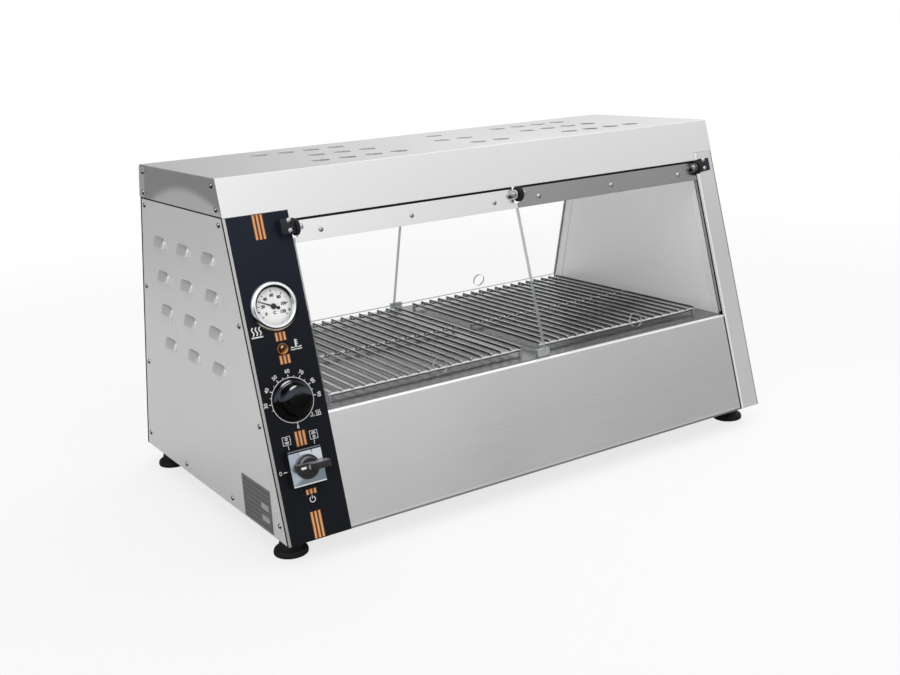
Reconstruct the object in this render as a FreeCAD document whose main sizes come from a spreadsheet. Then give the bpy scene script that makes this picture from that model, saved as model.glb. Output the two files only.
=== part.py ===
import FreeCAD, Part
import math
import os
from types import SimpleNamespace

import Sketcher

# Hot holding unit: a counter-top display warmer with two leaning glass faces.
# The frame stands on the resting plane, midway between the feet: +X right, +Y back, +Z up.
# Heights below are measured from the underside of the base, which the feet carry.

Vector = FreeCAD.Vector

SIZES = {
    # Cabinet
    "body_width": 850,
    "base_depth": 520,
    "body_height": 407,
    "lean_angle": 15,
    "sheet": 1,
    "control_width": 90,
    "post_width": 40,
    "flange_depth": 22,
    "panel_groove": 1.2,
    "lower_height": 150,
    "seat_depth": 26,
    "pan_flange": 24,
    "pan_flange_inset": 30,
    "deck_thickness": 1.2,
    "deck_setback": 6,
    # Hood
    "hood_height": 49,
    "hood_proud": 1,
    "lip_drop": 12,
    "return_depth": 18,
    "tab_width": 19,
    "bend_radius": 1.2,
    "vent_diameter": 26,
    "vent_pitch": 42,
    "vent_row_pitch": 75,
    "ceiling_gap": 2,
    # Side louvers and rating plate
    "louver_length": 42,
    "louver_height": 15,
    "louver_depth": 7,
    "louver_crown": 30,
    "louver_pitch_y": 90,
    "louver_pitch_z": 50,
    "louver_drop": 51,
    "rating_length": 88,
    "rating_height": 60,
    "rating_thickness": 0.5,
    "rating_inset": 44,
    # Doors
    "glass_thickness": 4,
    "glass_setback": 0.5,
    "door_side_gap": 2.5,
    "door_middle_gap": 2.5,
    "door_bottom_gap": 7,
    "finger_hole": 22,
    "finger_hole_height": 24,
    "strip_height": 30,
    "strip_thickness": 1.5,
    "strip_gap": 1.5,
    "strip_screw_margin": 38.7,
    "strip_screw_drop": 18,
    # Hinges
    "axis_drop": 10.4,
    "axis_stand": 6.5,
    "knuckle_diameter": 22,
    "knuckle_reach": 6.4,
    "knuckle_length": 6.1,
    "middle_knuckle_length": 7,
    "hinge_block_width": 19,
    "hinge_block_overhang": 1,
    "hinge_block_height": 20,
    "hinge_block_lift": 2,
    "hinge_block_stand": 13.5,
    "hinge_screw_pitch": 13,
    "hinge_screw_inset": 6.8,
    "pin_diameter": 6,
    "pin_seat": 4,
    "ear_side_gap": 7,
    "ear_middle_gap": 11,
    "ear_notch": 23,
    "ear_radius": 6.8,
    "ear_thickness": 1.5,
    "pin_nut_radius": 5,
    "pin_nut_length": 5,
    "running_clearance": 0.05,
    "side_clearance": 0.5,
    "fit_clearance": 0.1,
    # Door stop
    "stop_width": 22,
    "stop_depth": 6,
    "stop_height": 11,
    "stop_clearance": 0.3,
    # Grates
    "grate_gap": 36,
    "grate_side_gap": 25,
    "grate_end_gap": 39.5,
    "grate_wire": 4,
    "grate_bar": 5,
    "grate_lift": 6.5,
    "grate_bar_inset": 2.5,
    "grate_weld": 0.5,
    # Control overlay and the places of the controls, each one above the last up the leaning face
    "overlay_margin": 4,
    "overlay_thickness": 0.6,
    "overlay_top_gap": 0.5,
    "control_shift": 2.2,
    "switch_shift": 2.8,
    "switch_rise": 95,
    "thermostat_pitch": 87.5,
    "lamp_pitch": 64.5,
    "thermometer_pitch": 55.5,
    # Thermometer
    "bezel_diameter": 64,
    "bezel_window": 50,
    "bezel_stand": 6.6,
    "case_diameter": 58,
    "case_depth": 30,
    "case_rim": 3,
    "case_wall": 1.2,
    "dial_depth": 1,
    "dial_thickness": 0.6,
    "lens_thickness": 0.8,
    "pivot_diameter": 2,
    "needle_hub": 6,
    "needle_length": 22,
    "needle_tail": 9,
    "needle_width": 1.6,
    "needle_thickness": 0.8,
    "needle_lift": 0.4,
    "reading": 29,
    "reading_span": 120,
    "dial_sweep": 252,
    # Pilot lamp
    "lamp_diameter": 12,
    "lamp_collar": 15,
    "lamp_collar_height": 1.6,
    "lamp_body_diameter": 11,
    "lamp_body_depth": 24,
    "lamp_lens_height": 6,
    # Thermostat
    "thermostat_width": 46,
    "thermostat_depth": 28,
    "thermostat_bush": 10,
    "shaft_diameter": 6,
    "shaft_stand": 18,
    "knob_diameter": 54,
    "knob_cap": 42,
    "knob_height": 23,
    "knob_skirt": 4,
    "knob_lift": 1,
    # Cam switch
    "switch_width": 46,
    "switch_base_height": 9,
    "switch_plate_thickness": 1,
    "switch_body_width": 42,
    "switch_body_depth": 50,
    "spindle_diameter": 8,
    "spindle_stand": 24,
    "handle_hub": 32,
    "handle_hub_height": 7,
    "handle_pointer": 17,
    "handle_lever": 26,
    "handle_width": 11,
    "handle_height": 20,
    "handle_lift": 0.4,
    # Heating elements and sensors
    "heater_tube": 8.5,
    "heater_run_pitch": 80,
    "heater_drop": 22,
    "top_heater_pitch": 60,
    "top_heater_drop": 16,
    "heater_tail": 40,
    "heater_end_gap": 40,
    "heater_clip_width": 12,
    "heater_clip_margin": 11,
    "heater_clip_inset": 185,
    "capillary": 1.6,
    "capillary_bend": 8,
    "bulb_diameter": 6,
    "bulb_length": 80,
    "bulb_reach": 85,
    "bulb_clearance": 0.3,
    # Terminal block and cable gland
    "terminal_length": 48,
    "terminal_depth": 26,
    "terminal_height": 20,
    "terminal_setback": 130,
    "gland_rise": 42,
    "gland_thread": 20,
    "gland_flange": 27,
    "gland_flange_height": 6,
    "gland_cap": 22,
    "gland_cap_height": 10,
    "gland_bore": 9,
    "gland_nut_height": 5,
    # Feet
    "foot_height": 30,
    "foot_diameter": 46,
    "foot_neck": 28,
    "foot_pad": 9,
    "foot_inset_x": 23,
    "foot_inset_y": 46,
    "stud_diameter": 8,
    "stud_length": 34,
    "stud_embed": 20,
    "stud_nut": 15,
    "stud_nut_height": 6.5,
    # Pan-head screws
    "screw_head": 7.2,
    "screw_head_height": 2.6,
    "screw_crown": 1.8,
    "screw_shank": 4,
    "screw_length": 6,
    "screw_edge": 16,
    "screw_top_drop": 10,
    "screw_bottom": 22,
    "pan_screw_height": 12,
    "pan_screw_spread": 172,
    "cap_screw_low": 9,
    "cap_screw_high": 39,
    "strip_nut": 8,
    "strip_nut_height": 3,
}

VENT_CLUSTERS = {
    # Row towards the front: (x of a cluster's first hole, holes in it)
    -1: [(-243, 4), (20, 2), (194, 4)],
    0: [(-211, 3), (4, 2), (168, 4)],
    1: [(-266, 4), (38, 1), (163, 4)],
}

# Shares of a size: the lamp dome's radius, the knob's flare and crown, the handle's taper
LAMP_DOME = 0.54
KNOB_FLARE = 0.6
KNOB_CROWN = ((0.95, 0.22), (0.8, 0.1), (0.45, 0.025))
GRIP_TAPER = 0.75

GRATE_WIRES = 19
LOUVER_ROWS = 4
LOUVER_COLUMNS = (-1, 0, 1)
SIDE_SCREWS = 4
DOOR_SCREWS = (-1, 0, 1)
FRONT, REAR = "front", "rear"
LEFT, RIGHT = "left", "right"


class Size:
    """A number from the sheet, together with the expression that binds it."""

    def __init__(self, value, text):
        self.value = value
        self.text = text

    def __add__(self, other):
        other = as_size(other)
        return Size(self.value + other.value, f"({self.text} + {other.text})")

    def __sub__(self, other):
        other = as_size(other)
        return Size(self.value - other.value, f"({self.text} - {other.text})")

    def __mul__(self, other):
        other = as_size(other)
        return Size(self.value * other.value, f"({self.text} * {other.text})")

    def __truediv__(self, other):
        other = as_size(other)
        return Size(self.value / other.value, f"({self.text} / {other.text})")

    def __neg__(self):
        return Size(-self.value, f"(0 - {self.text})")

    def __rsub__(self, other):
        return as_size(other) - self

    __radd__ = __add__
    __rmul__ = __mul__


def as_size(number):
    """Give a plain number the form of a sheet size."""
    if isinstance(number, Size):
        return number
    text = f"{abs(number):.6f}"
    return Size(float(number), text if number >= 0 else f"(0 - {text})")


doc = FreeCAD.newDocument("HotHoldingUnit")
sheet = doc.addObject("Spreadsheet::Sheet", "Sizes")
for row, (alias, number) in enumerate(SIZES.items(), start=1):
    sheet.set(f"A{row}", alias)
    sheet.set(f"B{row}", str(number))
    sheet.setAlias(f"B{row}", alias)
doc.recompute()

size = SimpleNamespace(**{alias: Size(float(sheet.get(alias)), f"Sizes.{alias}") for alias in SIZES})
lean = math.radians(size.lean_angle.value)
slope = Size(math.tan(lean), "tan(Sizes.lean_angle * 1 deg)")
lean_cos = Size(math.cos(lean), "cos(Sizes.lean_angle * 1 deg)")
lean_sin = Size(math.sin(lean), "sin(Sizes.lean_angle * 1 deg)")
pieces = {}


# Places that many pieces share

half_width = size.body_width / 2
inner_half = half_width - size.sheet
left_edge = size.control_width - half_width
right_edge = half_width - size.post_width
seam_x = (left_edge + right_edge) / 2
face_skin = size.sheet / lean_cos
lip_height = size.body_height - size.lip_drop
top_height = size.body_height + size.hood_height
deck_top = size.lower_height + size.deck_thickness
control_x = (left_edge + size.overlay_margin - half_width) / 2 - size.control_shift
switch_x = control_x - size.switch_shift
thermostat_rise = size.switch_rise + size.thermostat_pitch
lamp_rise = thermostat_rise + size.lamp_pitch
thermometer_rise = lamp_rise + size.thermometer_pitch
strip_top = lip_height / lean_cos - size.strip_gap
axis_rise = strip_top - size.axis_drop
block_rise = axis_rise + size.hinge_block_lift
pin_radius = size.pin_diameter / 2
door_limits = {
    LEFT: (left_edge + size.door_side_gap, seam_x - size.door_middle_gap / 2),
    RIGHT: (seam_x + size.door_middle_gap / 2, right_edge - size.door_side_gap),
}
ear_limits = {
    LEFT: (left_edge + size.ear_side_gap, seam_x - size.ear_middle_gap / 2),
    RIGHT: (seam_x + size.ear_middle_gap / 2, right_edge - size.ear_side_gap),
}


def half_depth(height, inset=0):
    """Half the cabinet's depth at a height, less an inset."""
    return size.base_depth / 2 - slope * height - inset


# Helpers that make bound objects

def bind(item, **properties):
    """Bind an object's properties to sheet sizes."""
    for name, amount in properties.items():
        item.setExpression(name, as_size(amount).text)


def placement_text(place, turn):
    """The expression of a placement: a point, then yaw, pitch and roll."""
    point = "; ".join(as_size(value).text for value in place)
    angles = "; ".join(as_size(value).text for value in turn)
    return f"placement(vector({point}); rotation({angles}))"


def face_text(face):
    """The expression of a leaning face's own frame: X along it, Y up it and Z out of it."""
    start = -size.base_depth / 2 if face == FRONT else size.base_depth / 2
    yaw = 0 if face == FRONT else 180
    return placement_text((0, start, size.foot_height), (yaw, 0, 90 - size.lean_angle))


def face_placement(face):
    """A leaning face's frame as a placement."""
    sign = -1 if face == FRONT else 1
    start = Vector(0, sign * size.base_depth.value / 2, size.foot_height.value)
    yaw = 0 if face == FRONT else 180
    return FreeCAD.Placement(start, FreeCAD.Rotation(yaw, 0, 90 - size.lean_angle.value))


def put(item, place, turn=(0, 0, 0), face=None):
    """Place an object in the part's frame above the feet, or in a leaning face's frame."""
    x, y, z = place
    if face is None:
        item.setExpression("Placement", placement_text((x, y, z + size.foot_height), turn))
    else:
        item.setExpression("Placement", f"{face_text(face)} * {placement_text(place, turn)}")
    return item


def on_face(face, x):
    """A place along X as the leaning face's own frame counts it."""
    return x if face == FRONT else -x


def span_on_face(face, limits):
    """A span along X as the leaning face's own frame counts it."""
    low, high = limits
    return (low, high) if face == FRONT else (-high, -low)


def block(name, x, y, z, face=None):
    """A rectangular block between three pairs of limits."""
    item = doc.addObject("Part::Box", name)
    bind(item, Length=x[1] - x[0], Width=y[1] - y[0], Height=z[1] - z[0])
    return put(item, (x[0], y[0], z[0]), face=face)


TURNS = {"X": (0, 90, 0), "Y": (0, 0, -90), "Z": (0, 0, 0)}


def rod(name, radius, start, length, axis="Z", face=None):
    """A round rod from a point along an axis of its frame."""
    item = doc.addObject("Part::Cylinder", name)
    bind(item, Radius=radius, Height=length)
    return put(item, start, TURNS[axis], face)


def wedge(name, x, z, low, high):
    """A solid between two heights whose limits along Y change from the lower to the upper one."""
    item = doc.addObject("Part::Wedge", name)
    bind(item, Xmin=x[0], X2min=x[0], Xmax=x[1], X2max=x[1], Ymin=z[0], Ymax=z[1])
    bind(item, Zmin=-low[1], Zmax=-low[0], Z2min=-high[1], Z2max=-high[0])
    return put(item, (0, 0, 0), (0, 0, 90))


def slab(name, x, depth, z, face=FRONT):
    """A sheet that leans with a face, between two depths behind it."""
    limits = []
    for height in z:
        reach = half_depth(height)
        near, far = reach - depth[0], reach - depth[1]
        limits.append((-near, -far) if face == FRONT else (far, near))
    return wedge(name, x, z, *limits)


def plate(name, x, z, inset):
    """An upright or level sheet that fills the cabinet's depth, less an inset at each face."""
    limits = [(-half_depth(height, inset), half_depth(height, inset)) for height in z]
    return wedge(name, x, z, *limits)


def fuse(name, shapes):
    """One solid out of several."""
    item = doc.addObject("Part::MultiFuse", name)
    item.Shapes = shapes
    return item


def cut(name, base, tool):
    """A solid less a tool."""
    item = doc.addObject("Part::Cut", name)
    item.Base = base
    item.Tool = tool
    return item


def group(name, shapes):
    """Separate solids that share one node."""
    item = doc.addObject("Part::Compound", name)
    item.Links = shapes
    return item


def cut_all(name, base, tools):
    """A solid less several tools."""
    return cut(name, base, group(f"{name}_tools", tools))


def piece(label, item):
    """Name an object as one of the part's pieces."""
    item.Label = label
    pieces[label] = item
    return item


def shape_piece(name, shape):
    """An object whose shape is worked out here from the sheet's sizes."""
    item = doc.addObject("Part::Feature", name)
    item.Shape = shape
    return item


# Helpers for bodies with sketches

def sketch_on(body, role, name):
    """A sketch on one of a body's own origin planes."""
    sketch = body.newObject("Sketcher::SketchObject", name)
    plane = next(item for item in body.Origin.OriginFeatures if item.Role == role)
    sketch.AttachmentSupport = (plane, [""])
    sketch.MapMode = "FlatFace"
    return sketch


def fix_point(sketch, geometry, corner, x, y):
    """Fix a point of a sketch at sheet sizes from the sketch's origin."""
    for kind, axis, amount in (("DistanceX", -2, as_size(x)), ("DistanceY", -1, as_size(y))):
        if amount.value == 0:
            sketch.addConstraint(Sketcher.Constraint("PointOnObject", geometry, corner, axis))
        else:
            rule = Sketcher.Constraint(kind, -1, 1, geometry, corner, amount.value)
            number = sketch.addConstraint(rule)
            sketch.setExpression(f"Constraints[{number}]", amount.text)


def draw_outline(sketch, corners):
    """Draw a closed outline of straight lines."""
    points = [Vector(as_size(x).value, as_size(y).value, 0) for x, y in corners]
    first = sketch.GeometryCount
    count = len(points)
    for number, point in enumerate(points):
        sketch.addGeometry(Part.LineSegment(point, points[(number + 1) % count]))
    for number, (x, y) in enumerate(corners):
        before = first + (number - 1) % count
        sketch.addConstraint(Sketcher.Constraint("Coincident", before, 2, first + number, 1))
        fix_point(sketch, first + number, 1, x, y)


def draw_circle(sketch, x, y, radius):
    """Draw a circle."""
    centre = Vector(as_size(x).value, as_size(y).value, 0)
    number = sketch.addGeometry(Part.Circle(centre, Vector(0, 0, 1), radius.value))
    fix_point(sketch, number, 3, x, y)
    rule = sketch.addConstraint(Sketcher.Constraint("Radius", number, radius.value))
    sketch.setExpression(f"Constraints[{rule}]", radius.text)


def padded(name, outline, circles, thickness):
    """A flat body from an outline with round holes."""
    body = doc.addObject("PartDesign::Body", name)
    sketch = sketch_on(body, "XY_Plane", f"{name}_sketch")
    draw_outline(sketch, outline)
    for x, y, radius in circles:
        draw_circle(sketch, x, y, radius)
    pad = body.newObject("PartDesign::Pad", f"{name}_pad")
    pad.Profile = sketch
    bind(pad, Length=thickness)
    sketch.Visibility = False
    return body


def disc(name, radius, thickness, hole=None):
    """A flat round body, with a hole in its middle if one is given."""
    body = doc.addObject("PartDesign::Body", name)
    sketch = sketch_on(body, "XY_Plane", f"{name}_sketch")
    draw_circle(sketch, 0, 0, radius)
    if hole is not None:
        draw_circle(sketch, 0, 0, hole)
    pad = body.newObject("PartDesign::Pad", f"{name}_pad")
    pad.Profile = sketch
    bind(pad, Length=thickness)
    return body


def turned(name, outline):
    """A body turned about its Z axis from an outline of radii and heights."""
    body = doc.addObject("PartDesign::Body", name)
    sketch = sketch_on(body, "XZ_Plane", f"{name}_sketch")
    draw_outline(sketch, outline)
    turn = body.newObject("PartDesign::Revolution", f"{name}_turn")
    turn.Profile = sketch
    turn.ReferenceAxis = (sketch, ["V_Axis"])
    turn.Angle = 360
    return body


def rectangle(x, y):
    """The corners of a rectangle between two pairs of limits."""
    return [(x[0], y[0]), (x[1], y[0]), (x[1], y[1]), (x[0], y[1])]


# Screws

def screw_shape(length):
    """A pan-head screw standing on the origin, its shank along -Z."""
    head = size.screw_head.value / 2
    height = size.screw_head_height.value
    crown = size.screw_crown.value
    ball_radius = (head ** 2 + crown ** 2) / (2 * crown)
    ball = Part.makeSphere(ball_radius, Vector(0, 0, height - ball_radius))
    cap = Part.makeCylinder(head, height).common(ball)
    shank = Part.makeCylinder(size.screw_shank.value / 2, length, Vector(0, 0, -length))
    return cap.fuse(shank).removeSplitter()


def along(point, direction):
    """The placement that stands the Z axis on a point along a direction."""
    return FreeCAD.Placement(point, FreeCAD.Rotation(Vector(0, 0, 1), direction))


def screws(name, places, length):
    """A group of screws, each with its head on a point and facing a direction."""
    shapes = []
    for point, direction in places:
        shape = screw_shape(length.value)
        shape.Placement = along(point, direction)
        shapes.append(shape)
    return shape_piece(name, Part.makeCompound(shapes))


def screw_holes(name, places, length):
    """The clearance holes of a group of screws."""
    radius = size.screw_shank.value / 2 + size.fit_clearance.value
    shapes = []
    for point, direction in places:
        start = point - direction * length.value
        shapes.append(Part.makeCylinder(radius, 2 * length.value, start, direction))
    return shape_piece(name, Part.makeCompound(shapes))


def side_screw_places(side):
    """The screws of a side panel: along both leaning edges and along the base."""
    sign = -1 if side == LEFT else 1
    x = sign * half_width.value
    places = []
    highest = size.body_height.value - size.screw_top_drop.value
    pitch = (highest - size.screw_bottom.value) / (SIDE_SCREWS - 1)
    for number in range(SIDE_SCREWS):
        height = highest - number * pitch
        reach = half_depth(height, size.screw_edge).value
        places += [(y, height) for y in (-reach, reach)]
    spread = size.pan_screw_spread.value / 2
    places += [(y, size.pan_screw_height.value) for y in (-spread, spread)]
    direction = Vector(sign, 0, 0)
    return [(Vector(x, y, size.foot_height.value + height), direction) for y, height in places]


def cap_screw_places(side):
    """The screws of a hood end cap: the rear pair sits on the folded tab."""
    sign = -1 if side == LEFT else 1
    places = []
    for rise in (size.cap_screw_low.value, size.cap_screw_high.value):
        height = size.body_height.value + rise
        reach = half_depth(height, size.screw_edge).value + size.hood_proud.value
        level = size.foot_height.value + height
        places.append(Vector(sign * half_width.value, -reach, level))
        places.append(Vector(sign * (half_width.value + size.sheet.value), reach, level))
    return [(point, Vector(sign, 0, 0)) for point in places]


side_places = {side: side_screw_places(side) for side in (LEFT, RIGHT)}
cap_places = {side: cap_screw_places(side) for side in (LEFT, RIGHT)}
side_holes = {side: screw_holes(f"{side}_side_holes", side_places[side], size.screw_length) for side in (LEFT, RIGHT)}
cap_holes = {side: screw_holes(f"{side}_cap_holes", cap_places[side], size.screw_length) for side in (LEFT, RIGHT)}
all_places = side_places[LEFT] + side_places[RIGHT] + cap_places[LEFT] + cap_places[RIGHT]
piece("panel_screws", screws("panel_screws", all_places, size.screw_length))


# Base pan, columns and panels

foot_places = [
    (x * (half_width - size.foot_inset_x), y * (size.base_depth / 2 - size.foot_inset_y))
    for x in (-1, 1)
    for y in (-1, 1)
]


def make_base_pan():
    """The base: a floor with upturned sides, drilled for the foot studs and the side screws."""
    floor = plate("pan_floor", (-inner_half, inner_half), (0, size.sheet), face_skin)
    sides = []
    for side, limits in (
        (LEFT, (-inner_half, size.sheet - inner_half)),
        (RIGHT, (inner_half - size.sheet, inner_half)),
    ):
        sides.append(plate(f"pan_{side}", limits, (size.sheet, size.pan_flange), size.pan_flange_inset))
    folded = fuse("pan_folded", [floor] + sides)
    radius = size.stud_diameter / 2 + size.fit_clearance
    studs = [
        rod(f"pan_stud_hole_{number}", radius, (x, y, -size.sheet), size.sheet * 3)
        for number, (x, y) in enumerate(foot_places)
    ]
    piece("base_pan", cut_all("base_pan", folded, studs + [side_holes[LEFT], side_holes[RIGHT]]))


def column(name, side, face):
    """A column: a leaning web with a flange folded back along each edge."""
    web_x = (-half_width, left_edge) if side == LEFT else (right_edge, half_width)
    if side == LEFT:
        flanges = [(-inner_half, size.sheet - inner_half), (left_edge - size.sheet, left_edge)]
    else:
        flanges = [(right_edge, right_edge + size.sheet), (inner_half - size.sheet, inner_half)]
    web = slab(f"{name}_web", web_x, (0, face_skin), (0, size.body_height), face)
    folds = [
        slab(f"{name}_fold_{number}", x, (face_skin, size.flange_depth), (size.sheet, size.body_height), face)
        for number, x in enumerate(flanges)
    ]
    return fuse(f"{name}_folded", [web] + folds)


def make_lower_panel(face):
    """The panel under a pair of doors, with its top fold that seats the deck and its bottom fold."""
    name = f"{face}_lower_panel"
    x = (left_edge, right_edge)
    web = slab(f"{name}_web", x, (0, face_skin), (0, size.lower_height), face)
    top_z = (size.lower_height - size.sheet, size.lower_height)
    top = slab(f"{name}_top", x, (face_skin, size.seat_depth), top_z, face)
    foot = slab(f"{name}_foot", x, (face_skin, size.flange_depth), (size.sheet, size.sheet * 2), face)
    piece(name, fuse(name, [web, top, foot]))


def make_louver(number, y, height):
    """A pressed louver on the left side: a hood that opens downwards, and the space under it."""
    hood = doc.addObject("Part::Wedge", f"louver_{number}")
    space = doc.addObject("Part::Wedge", f"louver_space_{number}")
    half_length = size.louver_length / 2
    half_crown = size.louver_crown / 2
    for item, wall in ((hood, as_size(0)), (space, size.sheet)):
        bind(item, Xmin=wall - half_length, Xmax=half_length - wall)
        bind(item, X2min=wall - half_crown, X2max=half_crown - wall)
        bind(item, Ymin=-size.sheet, Ymax=size.louver_depth - wall)
        bind(item, Zmin=0, Zmax=size.louver_height - wall, Z2min=0, Z2max=size.sheet * 2 - wall)
        put(item, (-half_width, y, height), (90, 0, 0))
    return hood, space


def make_side_panels():
    """The side panels: the left one has louvers, and both are drilled for their screws."""
    inset = face_skin + size.panel_groove
    z = (0, size.body_height)
    left = plate("left_side_sheet", (-half_width, -inner_half), z, inset)
    hoods, spaces = [], []
    for row in range(LOUVER_ROWS):
        height = size.body_height - size.louver_drop - size.louver_height - size.louver_pitch_z * row
        for column_number in LOUVER_COLUMNS:
            number = row * len(LOUVER_COLUMNS) + column_number + 1
            hood, space = make_louver(number, size.louver_pitch_y * column_number, height)
            hoods.append(hood)
            spaces.append(space)
    pressed = fuse("left_side_pressed", [left] + hoods)
    piece("left_side_panel", cut_all("left_side_panel", pressed, spaces + [side_holes[LEFT]]))
    right = plate("right_side_sheet", (inner_half, half_width), z, inset)
    piece("right_side_panel", cut("right_side_panel", right, side_holes[RIGHT]))


def make_inner_walls():
    """The walls of the display space, behind the columns' inner folds."""
    z = (size.lower_height, lip_height)
    inset = face_skin + size.panel_groove
    left = plate("left_wall_sheet", (left_edge - size.sheet * 2, left_edge - size.sheet), z, inset)
    radius = size.heater_tube / 2 + size.fit_clearance
    holes = [
        rod(f"wall_heater_hole_{number}", radius, (left_edge - size.sheet * 3, y, top_heater_height),
            size.sheet * 3, "X")
        for number, y in enumerate((-size.top_heater_pitch / 2, size.top_heater_pitch / 2))
    ]
    piece("left_inner_wall", cut_all("left_inner_wall", left, holes))
    right_x = (right_edge + size.sheet, right_edge + size.sheet * 2)
    piece("right_inner_wall", plate("right_inner_wall", right_x, z, inset))


top_heater_height = lip_height - size.top_heater_drop


def make_hood():
    """The hood: a folded shell with round vents, a lip between the columns, and end caps."""
    proud = -size.hood_proud
    skin = (proud, proud + face_skin)
    behind = (proud + face_skin, size.return_depth)
    z_face = (size.body_height, top_height - size.sheet)
    full = (-half_width, half_width)
    between = (left_edge, right_edge)
    parts = [plate("hood_top", full, (top_height - size.sheet, top_height), proud)]
    for face in (FRONT, REAR):
        parts.append(slab(f"hood_{face}", full, skin, z_face, face))
        parts.append(slab(f"hood_{face}_lip", between, skin, (lip_height, size.body_height), face))
        parts.append(slab(f"hood_{face}_return", between, behind, (lip_height, lip_height + size.sheet), face))
        for side, x in ((LEFT, (-inner_half, left_edge)), (RIGHT, (right_edge, inner_half))):
            seat = (size.body_height, size.body_height + size.sheet)
            parts.append(slab(f"hood_{face}_{side}_seat", x, behind, seat, face))
    tab_z = (size.body_height + size.sheet * 2, top_height - size.sheet * 2)
    for sign, side in ((-1, LEFT), (1, RIGHT)):
        outside = sorted((sign * half_width, sign * (half_width + size.sheet)), key=lambda edge: edge.value)
        inside = sorted((sign * (inner_half - size.sheet), sign * inner_half), key=lambda edge: edge.value)
        parts.append(slab(f"hood_{side}_rear_tab", outside, (proud, size.tab_width), tab_z, REAR))
        parts.append(slab(f"hood_{side}_front_tab", inside, (proud + face_skin, size.tab_width), tab_z, FRONT))
        cap_x = sorted((sign * inner_half, sign * half_width), key=lambda edge: edge.value)
        cap = plate(f"hood_{side}_cap_sheet", cap_x, z_face, proud + face_skin)
        piece(f"hood_{side}_cap", cut(f"hood_{side}_cap", cap, cap_holes[side]))
    vents = []
    for row_number, clusters in VENT_CLUSTERS.items():
        for first, count in clusters:
            for number in range(count):
                x = first + size.vent_pitch * number
                place = (x, size.vent_row_pitch * row_number, top_height - size.sheet * 2)
                vents.append(rod(f"vent_{len(vents)}", size.vent_diameter / 2, place, size.sheet * 3))
    folded = fuse("hood_folded", parts)
    pierced = cut_all("hood_pierced", folded, vents + [cap_holes[LEFT], cap_holes[RIGHT]])
    doc.recompute()
    bends = doc.addObject("Part::Fillet", "hood_shell")
    bends.Base = pierced
    radius = size.bend_radius.value
    level = (size.foot_height + top_height).value
    reach = half_depth(top_height, proud).value
    edges = []
    for number, edge in enumerate(pierced.Shape.Edges, start=1):
        middle = edge.BoundBox.Center
        long_edge = edge.BoundBox.XLength > half_width.value
        if long_edge and abs(middle.z - level) < 0.01 and abs(abs(middle.y) - reach) < 0.01:
            edges.append((number, radius, radius))
    bends.Edges = edges
    piece("hood_shell", bends)
    ceiling_x = (left_edge + size.ceiling_gap, right_edge - size.ceiling_gap)
    ceiling_z = (lip_height + size.sheet, lip_height + size.sheet * 2)
    piece("ceiling_panel", plate("ceiling_panel", ceiling_x, ceiling_z, size.ceiling_gap))


# Doors and hinges

def strip_screw_places(side):
    """Where the screws of a door's hinge strip stand, in its face's frame."""
    low, high = door_limits[side]
    middle = (low + high) / 2
    pitch = (high - low) / 2 - size.strip_screw_margin
    rise = strip_top - size.strip_screw_drop
    return [(middle + pitch * number, rise) for number in DOOR_SCREWS]


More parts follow.
